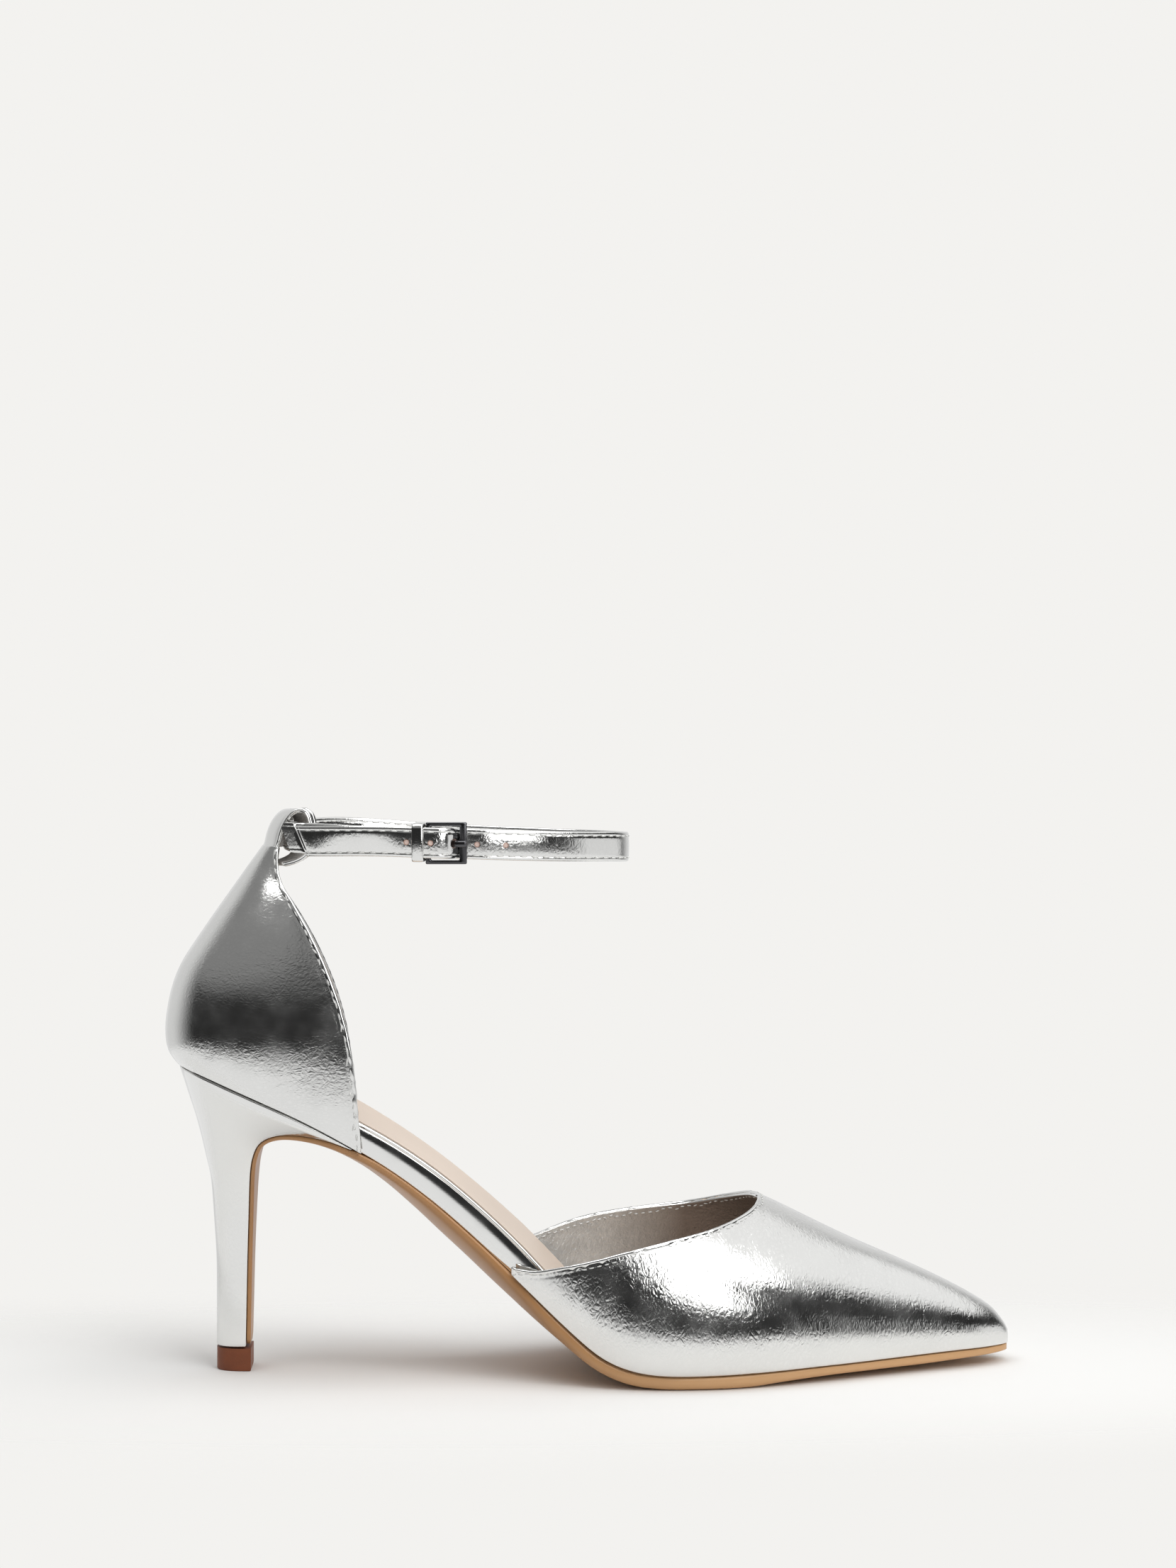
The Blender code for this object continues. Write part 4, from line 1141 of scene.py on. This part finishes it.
def sole_rings():
    """Sections of the sole from the toe round the arch and down the heel's breast."""
    path = []
    toe = [TOE_CENTRE_X] + round_end(TOE_CENTRE_X, TOE_TIP_X + SOLE_REACH - 0.2, 6)
    front = [SOLE_START_X + SOLE_STEP * i for i in range(48)]
    for x in toe[::-1] + front[::-1]:
        row = row_at(LAST, x)
        reach = blend(WAIST_REACH, SOLE_REACH, min(1.0, max(0.0, (x - WAIST_END_X) / WAIST_FADE)))
        halves = [last_half_width(x, side, -reach) for side in (-1, 1)]
        path.append((x, row.feather, *bed_slope(x), *halves, row.sole, row.crown))
    rows = rows_between(HEEL, 3)[::-1]
    for above, row, below in zip(rows, rows[1:], rows[2:] + [rows[-1]]):
        along_x, along_z = below.front_x - above.front_x, below.front_z - above.front_z
        size = math.hypot(along_x, along_z)
        normal_x, normal_z = along_z / size, -along_x / size
        if row.front_x < FLAP_TOP_X:
            normal_x = -abs(normal_x)
        halves = [row.half * seat_taper(row.front_x, side) - FLAP_INSET for side in (-1, 1)]
        share = min(1.0, max(0.0, (row.front_x - FLAP_TOP_X) / ARCH_LENGTH))
        path.append((row.front_x, row.front_z, normal_x, normal_z, *halves,
                     blend(FLAP_THICKNESS, ARCH_THICKNESS, share), ARCH_CROWN * share))
    rings = []
    for x, z, normal_x, normal_z, lateral, medial, thick, crown in path:
        ring = []
        top, bottom = SOLE_TOP, -SEAM_GAP - thick
        for side, half in ((-1, lateral), (1, medial)):
            half = max(half, 0.3)
            part = [(0.0, top), (half * 0.6, top), (half - min(0.25, half * 0.3), top), (half, top - 0.18)]
            part += [(half * reach, blend(top, bottom, share)) for reach, share in SOLE_EDGE]
            part += [(half * reach, bottom - crown * share) for reach, share in SOLE_BELLY]
            spots = [
                (x + normal_x * level, side * across, max(0.0, z + normal_z * level))
                for across, level in part
            ]
            ring.extend(spots if side < 0 else spots[-2:0:-1])
        rings.append(ring)
    return rings


def heel_rings():
    """D-shaped heel sections with a tight corner at each side of the breast."""
    rings = []
    rows = rows_between(HEEL, 3)
    rows.insert(1, rows_between(HEEL[:2], 30)[1])
    for index, row in enumerate(rows):
        seat = index == len(rows) - 1
        spots = []
        for side in (-1, 1):
            part = []
            for share in round_shares(HEEL_STEPS):
                x = blend(row.back_x, row.front_x, share)
                z = blend(row.back_z, row.front_z, share)
                if seat:
                    z = row_at(LAST, x).feather - SEAM_GAP * 0.4
                part.append((x, side * round_back(row, x, HEEL_POWER) * seat_taper(x, side), z))
            spots.extend(part if side < 0 else part[-2::-1])
        lengths = run_lengths(spots)
        total = lengths[-1]
        near = [step * min(1.0, total / BREAST_ROOM) for step in BREAST_STEPS]
        runs = near + [blend(near[-1], total - near[-1], i / 16) for i in range(1, 16)]
        runs += [total - step for step in reversed(near)]
        ring = [spot_along(spots, lengths, run) for run in runs]
        left, right = ring[0], ring[-1]
        for share in BREAST_SHARES:
            ring.append(tuple(blend(b, a, share) for a, b in zip(left, right)))
        rings.append(ring)
    rings.insert(-1, [(x, y, z - 0.35) for x, y, z in rings[-1]])
    return rings


def tip_rings():
    """The heel's wearing piece, its lower edge a little rounded."""
    rings = []
    for shrink, z in TOP_PIECE_EDGE:
        back_x, front_x = TOP_PIECE.back_x + shrink, TOP_PIECE.front_x - shrink
        half = TOP_PIECE.half - shrink
        section = Heel(back_x, z, front_x, z, half, front_x)
        ring = []
        for side in (-1, 1):
            part = []
            for share in round_shares(TOP_PIECE_STEPS):
                x = blend(back_x, front_x, share)
                part.append((x, side * round_back(section, x, HEEL_POWER), z))
            ring.extend(part if side < 0 else part[-2::-1])
        rings.append(ring)
    return rings


def strap_frames(step, near_end):
    """Stations of the ankle strap in metres with direction and outward direction."""
    path = strap_path(step, near_end)

    def out_of(index, along):
        """Level outwards, leaning on the lateral side and more so at the tail's twist."""
        x, y, _ = path[index]
        lateral = min(1.0, max(0.0, -y / LEAN_START - 1.0))
        twist = max(0.0, 1 - ((x - TAIL_TWIST_X) / TAIL_TWIST_REACH) ** 2)
        lean = STRAP_LEAN + STRAP_TAIL_LEAN * twist
        return Vector((-along.y, along.x, -math.tan(lean) * lateral))

    return frames_along([point(*spot) for spot in path], out_of)


def strap_section():
    """The strap's outline across, its edges rounded and pressed in along the stitches."""
    half = STRAP_WIDTH / 2
    side = [(half - inward, out) for inward, out in STRAP_EDGE] + [(0.0, STRAP_CROWN)]
    top = side + [(-up, out) for up, out in side[-2::-1]]
    return top + [(up, -out) for up, out in reversed(top)]


def shape_tail(strap, stations):
    """Thin the strap's tail towards its end and slant that end."""
    end, along, _ = stations[-1]
    ends = stations[-len(TAIL):]
    for vert in strap.data.vertices:
        ahead = (end - vert.co).dot(along) / MM
        if ahead > TAIL_REACH + 1.0 or (vert.co - end).length > (STRAP_WIDTH + 0.1) * MM:
            continue
        near = min(range(len(TAIL)), key=lambda i: abs(TAIL[i][0] - ahead))
        spot, _, out = ends[near]
        vert.co -= out * ((vert.co - spot).dot(out) * (1 - TAIL[near][1]))
        fade = min(1.0, max(0.0, (TAIL_REACH - ahead) / TAIL_FADE))
        vert.co += along * ((vert.co.z - spot.z) / (STRAP_WIDTH / 2) * STRAP_TAIL_SLANT * fade)


def add_peg(form, spot, basis, radius, end_radius, depth):
    """Add a round peg to a bmesh, its sizes in millimetres."""
    bmesh.ops.create_cone(
        form, cap_ends=True, segments=20, radius1=radius * MM, radius2=end_radius * MM, depth=depth * MM,
        matrix=Matrix.Translation(spot) @ basis,
    )


def punch_holes(strap, stations, core):
    """Cut the strap's holes and return a bmesh of the cores seen in the blind ones."""
    lateral = [station for station in stations[len(stations) // 2:] if station[0].y < point(0, -20, 0).y]
    rims = bmesh.new()
    cores = bmesh.new()
    for x in STRAP_HOLE_X + (PRONG_HOLE_X,):
        spot, along, out = min(lateral, key=lambda station: abs(station[0].x - point(x, 0, 0).x))
        basis = Matrix((along, out.cross(along), out)).transposed().to_4x4()
        if x == PRONG_HOLE_X:
            add_peg(rims, spot, basis, *PRONG_HOLE)
            continue
        add_peg(rims, spot + out * (STRAP_CROWN * MM), basis, *STRAP_HOLE)
        add_peg(cores, spot + out * (STRAP_CROWN / 2 * MM), basis, *HOLE_CORE)
    punch = finish_mesh("strap_punch", rims, [core])
    cut = strap.modifiers.new("punch", "BOOLEAN")
    cut.operation, cut.object, cut.solver = "DIFFERENCE", punch, "EXACT"
    apply_all(strap)
    bpy.data.objects.remove(punch)
    strap.data.set_sharp_from_angle(angle=math.radians(50))
    return cores


def strap_stitches(stations, pitch, thread):
    """A row of stitches along both edges of both of the strap's faces."""
    inset = STRAP_WIDTH / 2 - STRAP_STITCH_INSET
    form = bmesh.new()
    for height in (inset, -inset):
        for sign in (1, -1):
            line = []
            for spot, along, out in stations[2:-5]:
                across = out.cross(along)
                line.append(spot + across * (height * MM) + out * (sign * STRAP_STITCH_LIFT * MM))

            def out_of(spot, sign=sign):
                """Outwards at the nearest station, on this face's side."""
                nearest = min(stations, key=lambda station: (station[0] - spot).length_squared)
                return nearest[2] * sign

            stitch_form(form, line, out_of, pitch, STRAP_STITCH, thread)
    return form


def keeper_form():
    """The narrow fixed loop beside the buckle, a rounded rectangle round its CAD box."""
    low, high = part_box("keeper")
    centre = (low + high) / 2
    wide, half_y, half_z = [(b - a) / 2 / MM for a, b in zip(low, high)]
    corner, inset = 1.1, 0.45
    lean = Matrix.Rotation(STRAP_LEAN, 3, "X")
    line, outs = [], []
    for sign_y, sign_z, start in ((-1, 1, 90), (-1, -1, 180), (1, -1, 270), (1, 1, 0)):
        for step in range(6):
            turn = math.radians(start + 90 * step / 5)
            y = sign_y * (half_y - inset - corner) + corner * math.cos(turn)
            z = sign_z * (half_z - inset - corner) + corner * math.sin(turn)
            line.append(centre + lean @ Vector((0.0, y, z)) * MM)
            outs.append(lean @ Vector((0.0, math.cos(turn), math.sin(turn))))
    stations = []
    for index, spot in enumerate(line):
        along = (line[(index + 1) % len(line)] - line[index - 1]).normalized()
        stations.append((spot, along, square_to(along, outs[index])))
    section = [
        (wide, 0.1), (wide - 0.15, 0.36), (wide - 0.5, 0.45), (0.0, 0.48), (0.5 - wide, 0.45),
        (0.15 - wide, 0.36), (-wide, 0.1), (-wide, -0.3), (0.3 - wide, -0.42), (0.0, -0.42),
        (wide - 0.3, -0.42), (wide, -0.3),
    ]
    form = sweep_form(stations, section, looped=True)
    middle = sum((vert.co for vert in form.verts), Vector()) / len(form.verts)
    bmesh.ops.rotate(form, verts=form.verts, cent=middle, matrix=Matrix.Rotation(KEEPER_TURN, 3, "Z"))
    bmesh.ops.translate(form, verts=form.verts, vec=(KEEPER_SHIFT * MM, 0.0, 0.0))
    return form


def buckle_form():
    """The square frame, cut from a plate as big as its CAD box; its end bar is the thinner one."""
    low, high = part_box("buckle_frame")
    centre, size = (low + high) / 2, high - low
    middle = centre - Vector((0.0, size.y / 2, 0.0))
    upright = Matrix.Rotation(math.radians(90), 3, "X")
    form = bmesh.new()
    bmesh.ops.create_grid(form, x_segments=1, y_segments=1, size=0.5)
    bmesh.ops.scale(form, verts=form.verts, vec=(size.x, size.z, 1.0))
    bmesh.ops.rotate(form, verts=form.verts, cent=(0, 0, 0), matrix=upright)
    bmesh.ops.translate(form, verts=form.verts, vec=middle)
    bmesh.ops.inset_region(
        form, faces=form.faces, thickness=BUCKLE_RIM * MM, use_boundary=True, use_even_offset=True,
    )
    window = min(form.faces, key=lambda face: (face.calc_center_median() - middle).length)
    for vert in window.verts:
        side, bar = (1, BUCKLE_FRONT_BAR) if vert.co.x > centre.x else (-1, BUCKLE_END_BAR)
        vert.co.x = centre.x + side * (size.x / 2 - bar * MM)
    bmesh.ops.delete(form, geom=[window], context="FACES")
    made = bmesh.ops.extrude_face_region(form, geom=form.faces[:])
    moved = [item for item in made["geom"] if isinstance(item, bmesh.types.BMVert)]
    bmesh.ops.translate(form, verts=moved, vec=(0.0, size.y, 0.0))
    bmesh.ops.recalc_face_normals(form, faces=form.faces)
    bmesh.ops.bevel(
        form, geom=form.edges[:], offset=BUCKLE_ROUNDING * MM, segments=3, profile=0.5, affect="EDGES",
        material=-1,
    )
    lean = Matrix.Rotation(STRAP_LEAN, 3, "X")
    bmesh.ops.rotate(form, verts=form.verts, cent=centre, matrix=lean)
    return form


# Operators


def show(piece, slot, *nodes):
    """Let a finished piece ride on the shoe and stand for its nodes, which it hides; the slot is not used."""
    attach(piece, BODY)
    if nodes:
        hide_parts(*nodes)
    return piece


def rolled_edge(name, line, tree, thickness, halves, material):
    """A folded leather edge as a slim roll along a line of shoemaker's points on a skin."""
    spots = [point(*spot) for spot in even_line(line, 1.2)]
    normals = [tree.find_nearest(spot)[1] for spot in spots]
    centres = [spot - normal * (thickness / 2 * MM) for spot, normal in zip(spots, normals)]
    stations = frames_along(centres, lambda index, along: normals[index])
    form = sweep_form(stations, oval(*halves, 12), taper=0.4)
    return show(finish_mesh(name, form, [material]), "silver_leather")


def stitched(name, lines, tree, pitch, length, material, thread):
    """Rows of stitches on a skin along lines in metres."""
    form = bmesh.new()
    for line in lines:
        stitch_form(form, line, lambda spot: tree.find_nearest(spot)[1], pitch / MM, length, thread / MM)
    return show(finish_mesh(name, form, [material], angle=180), "silver_leather")


def walled_skin(name, form, materials, thickness, attribute, edges):
    """A skin with its wall, which stores how far each point lies from the skin's free edges."""
    skin = finish_mesh(name, form, materials, angle=180)
    wall(skin, thickness, 1, 2)
    apply_all(subdivide(skin, 2))
    return write_distance(skin, attribute, edges)


def free_edges(rings):
    """Soft lines through the first and the last points of rings."""
    return [soft_line([ring[end] for ring in rings], 4) for end in (0, -1)]


class ShoeBuildVamp(bpy.types.Operator):
    """Build the forepart's upper with its lining, folded edge and stitches"""

    bl_idname = "shoe.build_vamp"
    bl_label = "Vamp"

    def execute(self, context):
        leather, stitch = context.scene.pump_leather, context.scene.pump_stitch
        foil, lining = foil_material("vamp", leather), lining_material(leather)
        plain = foil_material("edge", leather)
        thread = soft_material("silver_thread", (0.8, 0.8, 0.78), (0.62, 0.62, 0.6), 0.45)
        edge = topline()
        vamp = walled_skin(
            "vamp_upper", vamp_form(), [foil, lining, plain], UPPER_WALL - 0.1, "topline_mm", [edge],
        )
        show(vamp, "silver_leather", "vamp")
        tree = surface_of(vamp)
        rolled_edge("vamp_topline_edge", edge, tree, UPPER_WALL, VAMP_ROLL, plain)
        line = [point(*spot) for spot in even_line(edge, 1.0)]
        down = point(110, -20, 0) - point(110, -20, 30)
        outside = offset_on(tree, line, stitch.edge_inset / MM, down)
        inside = line_inside(tree, outside, UPPER_WALL)
        for name, row in (("vamp_topline_stitches", outside), ("vamp_lining_stitches", inside)):
            stitched(name, [row], tree, stitch.topline_pitch, THROAT_STITCH, thread, stitch.thread * 0.8)
        return {"FINISHED"}


class ShoeBuildCounter(bpy.types.Operator):
    """Build the quarter round the heel with its lining, folded front edges and stitches"""

    bl_idname = "shoe.build_counter"
    bl_label = "Counter"

    def execute(self, context):
        leather, stitch = context.scene.pump_leather, context.scene.pump_stitch
        foil = foil_material("counter", leather)
        lining = soft_material(
            "lining_counter", leather.lining, leather.lining_mottle_and_shade, 0.5, 50.0, 900.0, 0.0001, 0.3,
        )
        plain = bpy.data.materials["silver_foil_edge"]
        rings = counter_rings()
        edges = free_edges(rings)
        form = place_grid(in_metres(rings), False, (0.12, 0.07))
        face_outwards(form, point(35, 0, 110), (1, 1, 0))
        counter = walled_skin(
            "counter_quarter", form, [foil, lining, plain], COUNTER_WALL - 0.1, "front_mm", edges,
        )
        show(counter, "silver_leather", "counter")
        tree = surface_of(counter)
        back = point(0, 0, 0) - point(20, 0, 0)
        lines = []
        for side, edge in zip(("lateral", "medial"), edges):
            rolled_edge("counter_%s_edge" % side, edge, tree, COUNTER_WALL, COUNTER_ROLL, plain)
            line = [point(*spot) for spot in even_line(edge, 1.0)]
            outside = offset_on(tree, line, stitch.edge_inset / MM, back)
            lines += [outside, line_inside(tree, outside, COUNTER_WALL)]
        thread = bpy.data.materials["silver_thread"]
        stitched("counter_stitches", lines, tree, stitch.quarter_pitch, QUARTER_STITCH, thread, stitch.thread)
        return {"FINISHED"}


class ShoeBuildBackLoop(bpy.types.Operator):
    """Build the strip that folds over the ankle strap at the back"""

    bl_idname = "shoe.build_back_loop"
    bl_label = "Back loop"

    def execute(self, context):
        foil = foil_material("loop", context.scene.pump_leather)
        lining = bpy.data.materials["lining_counter"]
        plain = bpy.data.materials["silver_foil_edge"]
        rings = loop_rings()
        edges = free_edges(rings)
        form = place_grid(in_metres(rings), False, (0.02, 0.05))
        face_outwards(form, point(33.5, 0.0, 150.5), (1, 0, 1))
        loop = walled_skin("back_loop_strip", form, [foil, lining, plain], LOOP_WALL, "side_mm", edges)
        show(loop, "silver_leather", "back_loop")
        tree = surface_of(loop)
        for side, edge in zip(("lateral", "medial"), edges):
            rolled_edge("back_loop_%s_edge" % side, edge, tree, LOOP_WALL, LOOP_ROLL, plain)
        return {"FINISHED"}


class ShoeBuildAnkleStrap(bpy.types.Operator):
    """Build the ankle strap with its punched holes, stitches and keeper"""

    bl_idname = "shoe.build_ankle_strap"
    bl_label = "Ankle strap"

    def execute(self, context):
        leather, stitch = context.scene.pump_leather, context.scene.pump_stitch
        foil = foil_material("strap", leather)
        core = soft_material("strap_core", (0.78, 0.64, 0.57), (0.62, 0.46, 0.4), 0.7)
        thread = bpy.data.materials["silver_thread"]
        stations = strap_frames(1.3, [ahead for ahead, _ in TAIL])
        form = sweep_form(stations, strap_section())
        strap = finish_mesh("ankle_strap_band", form, [foil, core], angle=60)
        shape_tail(strap, stations)
        cores = punch_holes(strap, stations, core)
        show(strap, "silver_leather", "ankle_strap")
        show(finish_mesh("strap_hole_cores", cores, [core]), "sock_lining")
        form = strap_stitches(stations, stitch.strap_pitch / MM, stitch.thread / MM)
        show(finish_mesh("ankle_strap_stitches", form, [thread], angle=180), "silver_leather")
        foil = foil_material("keeper", leather)
        show(finish_mesh("strap_keeper", keeper_form(), [foil], angle=60), "silver_leather", "keeper")
        return {"FINISHED"}


class ShoeBuildBuckle(bpy.types.Operator):
    """Build the square buckle frame and its prong"""

    bl_idname = "shoe.build_buckle"
    bl_label = "Buckle"

    def execute(self, context):
        metal = metal_material(context.scene.pump_bottom)
        show(finish_mesh("buckle_frame_cast", buckle_form(), [metal], angle=40), "gunmetal", "buckle_frame")
        line = [point(*spot) for spot in soft_line(PRONG, 4)]
        stations = frames_along(line, lambda index, along: Vector((along.y, -along.x, 0.0)))
        prong = sweep_form(stations, oval(*PRONG_HALVES, 14), taper=0.55)
        show(finish_mesh("buckle_prong_bent", prong, [metal], angle=60), "gunmetal", "buckle_prong")
        return {"FINISHED"}


class ShoeBuildInsole(bpy.types.Operator):
    """Build the wrapped insole board and the sock lining on it"""

    bl_idname = "shoe.build_insole"
    bl_label = "Insole"

    def execute(self, context):
        leather = context.scene.pump_leather
        foil = foil_material("board", leather)
        dark = [channel * 0.9 for channel in leather.sock]
        sock = soft_material("sock_beige", leather.sock, dark, 0.52, 30.0, 1100.0, 0.00006)
        rings = bed_rings(LINING_GAP, lambda row: 0.04, lambda row: SEAM_GAP + row.board, 0.55)
        board = closed_form(in_metres(rings), (0.08, 0.25))
        show(finish_mesh("insole_board_wrap", board, [foil], angle=60), "silver_leather", "insole_board")
        rings = bed_rings(
            LINING_GAP + SOCK_INSET * 0.5, lambda row: SEAM_GAP * 0.5 + row.board,
            lambda row: SEAM_GAP * 1.4 + row.board + SOCK_THICKNESS * 0.4, 0.16,
        )
        cover = closed_form(in_metres(rings), (0.08, 0.25))
        show(finish_mesh("insole_sock", cover, [sock], angle=60), "sock_lining", "insole")
        return {"FINISHED"}


class ShoeBuildBottom(bpy.types.Operator):
    """Build the sole, the covered heel and its wearing piece"""

    bl_idname = "shoe.build_bottom"
    bl_label = "Sole and heel"

    def execute(self, context):
        bottom = context.scene.pump_bottom
        tan, smooth = sole_material(bottom), foil_material("heel", context.scene.pump_leather)
        dark = [channel * 0.6 for channel in bottom.tip]
        brown = soft_material("heel_tip_brown", bottom.tip, dark, 0.5, 200.0, 1500.0)
        form = closed_form(in_metres(sole_rings()), (0.06, 0.3))
        sole = subdivide(finish_mesh("sole_leather", form, [tan], angle=180), 1)
        show(sole, "tan_sole", "outsole")
        form = closed_form(in_metres(heel_rings()), (0.08, 0.08))
        heel = subdivide(finish_mesh("heel_cover", form, [smooth], angle=180), 2)
        show(heel, "silver_leather", "heel")
        form = closed_form(in_metres(tip_rings()), (0.03, 0.01))
        show(finish_mesh("heel_tip", form, [brown], angle=50), "brown_rubber", "top_piece")
        return {"FINISHED"}


# Stage


# The softboxes: place, what they point at, size, and the setting with their power
Softbox = namedtuple("Softbox", "name spot target size power")
SOFTBOXES = (
    Softbox("overhead_softbox", (-0.1, -0.13, 1.0), (-0.1, 0.0, 0.0), (0.9, 0.6), "overhead_power"),
    Softbox("front_softbox", (0.19, -0.46, 0.56), (0.19, 0.0, 0.56), (0.3, 0.89), "front_power"),
    Softbox("toe_side_softbox", (0.52, -0.46, 0.76), (0.52, 0.0, 0.76), (0.36, 0.68), "front_power"),
)
STUDIO_LEAST = 0.025
FLOOR_STRETCH = (1.0, 3.2, 1.0)
FLOOR_FADE_START = 0.22


def aim(thing, spot, target):
    """Place a lamp or camera and point it at a target."""
    thing.location = spot
    thing.rotation_euler = (Vector(target) - Vector(spot)).to_track_quat("-Z", "Y").to_euler()


def build_softbox(box, stage):
    """A rectangular softbox that the camera doesn't see."""
    data = bpy.data.lights.new(box.name, "AREA")
    data.shape = "RECTANGLE"
    data.size, data.size_y = box.size
    data.energy = getattr(stage, box.power)
    lamp = bpy.data.objects.new(box.name, data)
    lamp.visible_camera = False
    bpy.context.scene.collection.objects.link(lamp)
    aim(lamp, box.spot, box.target)
    return lamp


def build_camera(scene, stage):
    """The level camera, turned a little to the toe."""
    camera = bpy.data.objects.new("camera", bpy.data.cameras.new("camera"))
    scene.collection.objects.link(camera)
    turn = stage.camera_turn
    ahead = Vector((math.sin(turn), math.cos(turn), 0.0))
    spot = Vector((-0.0004, HEEL_AXIS_Y * MM, stage.camera_height)) - ahead * stage.camera_distance
    aim(camera, spot, spot + ahead)
    camera.data.lens = stage.focal_length
    camera.data.sensor_width = 36.0
    camera.data.clip_start, camera.data.clip_end = 0.01, 50.0
    scene.camera = camera
    return camera


def build_floor(stage):
    """A pale paper floor that fades into the backdrop far from the shoe."""
    material, tree, shader, where = new_material("paper_floor")
    far = make_node(tree, "VectorMath", {0: mapped(tree, where, FLOOR_STRETCH)}, operation="LENGTH")
    reach = stage.floor_reach
    feed(tree, shader, {
        "Base Color": shade(stage.paper), "Roughness": 0.75, "Specular IOR Level": 0.15,
        "Alpha": range_node(
            tree, far.outputs["Value"], reach * FLOOR_FADE_START, reach, 1.0, 0.0, "SMOOTHSTEP",
        ),
    })
    form = bmesh.new()
    bmesh.ops.create_circle(form, cap_ends=True, segments=96, radius=reach)
    floor = finish_mesh("floor", form, [material])
    return floor


def build_world(scene, stage):
    """Backdrop colour for the eye, and a softly graded studio for reflections and light."""
    scene.world = bpy.data.worlds.new("studio")
    scene.world.use_nodes = True
    tree = scene.world.node_tree
    way = make_node(tree, "TexCoord").outputs["Generated"]
    axes = make_node(tree, "SeparateXYZ", {0: way}).outputs

    def ramp(axis, low, high, value):
        """A soft step along one axis of the direction."""
        return range_node(tree, axes[axis], low, high, 0.0, value, "SMOOTHSTEP")

    heel_side = ramp("X", 0.25, -0.15, 1.0)
    parts = [
        math_node(tree, "MULTIPLY", ramp("Y", -0.25, 0.6, 0.72), heel_side),
        ramp("Y", 0.35, 0.97, 0.8),
        math_node(tree, "MULTIPLY", ramp("Z", 0.42, 0.6, 1.0), ramp("X", 0.1, 0.4, 1.0)),
        math_node(tree, "MULTIPLY", ramp("X", 0.78, 0.95, 0.8), ramp("Z", 0.16, 0.04, 1.0)),
        math_node(tree, "MULTIPLY", ramp("Z", 0.16, 0.42, 0.25), heel_side),
        ramp("Z", -0.12, -0.24, 0.9),
    ]
    graded = STUDIO_LEAST
    for part in parts:
        graded = math_node(tree, "MAXIMUM", part, graded)
    seen = make_node(tree, "LightPath").outputs["Is Camera Ray"]
    feed(tree, tree.nodes["Background"], {"Color": mix_node(tree, seen, graded, shade(stage.backdrop))})
    return scene.world


class ShoeBuildStage(bpy.types.Operator):
    """Build the pale floor, the studio light and the camera"""

    bl_idname = "shoe.build_stage"
    bl_label = "Stage"

    def execute(self, context):
        scene, stage = context.scene, context.scene.pump_stage
        scene.view_settings.view_transform = "Standard"
        build_floor(stage)
        build_world(scene, stage)
        for box in SOFTBOXES:
            build_softbox(box, stage)
        build_camera(scene, stage)
        return {"FINISHED"}


class ShoePanel(bpy.types.Panel):
    """Lists the shoe's operators and settings"""

    bl_idname = "VIEW3D_PT_ankle_strap_pump"
    bl_label = "Ankle Strap Pump"
    bl_space_type = "VIEW_3D"
    bl_region_type = "UI"
    bl_category = "Shoe"

    def draw(self, context):
        layout = self.layout
        for operator in OPERATORS:
            layout.operator(operator.bl_idname)
        for name, group in SETTINGS:
            box = layout.box()
            for label in group.__annotations__:
                box.prop(getattr(context.scene, name), label)


SETTINGS = (
    ("pump_leather", PumpLeatherSettings),
    ("pump_stitch", PumpStitchSettings),
    ("pump_bottom", PumpBottomSettings),
    ("pump_stage", PumpStageSettings),
)
OPERATORS = (
    ShoeBuildStage,
    ShoeBuildVamp,
    ShoeBuildCounter,
    ShoeBuildBackLoop,
    ShoeBuildAnkleStrap,
    ShoeBuildBuckle,
    ShoeBuildInsole,
    ShoeBuildBottom,
)
CLASSES = tuple(group for _, group in SETTINGS) + OPERATORS + (ShoePanel,)


def register():
    """Add the settings, the operators and the panel to Blender."""
    for item in CLASSES:
        bpy.utils.register_class(item)
    for name, group in SETTINGS:
        setattr(bpy.types.Scene, name, PointerProperty(type=group))


def unregister():
    """Take them out again."""
    for name, _ in SETTINGS:
        delattr(bpy.types.Scene, name)
    for item in reversed(CLASSES):
        bpy.utils.unregister_class(item)


def main():
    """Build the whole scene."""
    register()
    for operator in OPERATORS:
        group, name = operator.bl_idname.split(".")
        getattr(getattr(bpy.ops, group), name)()


if __name__ == "__main__":
    main()
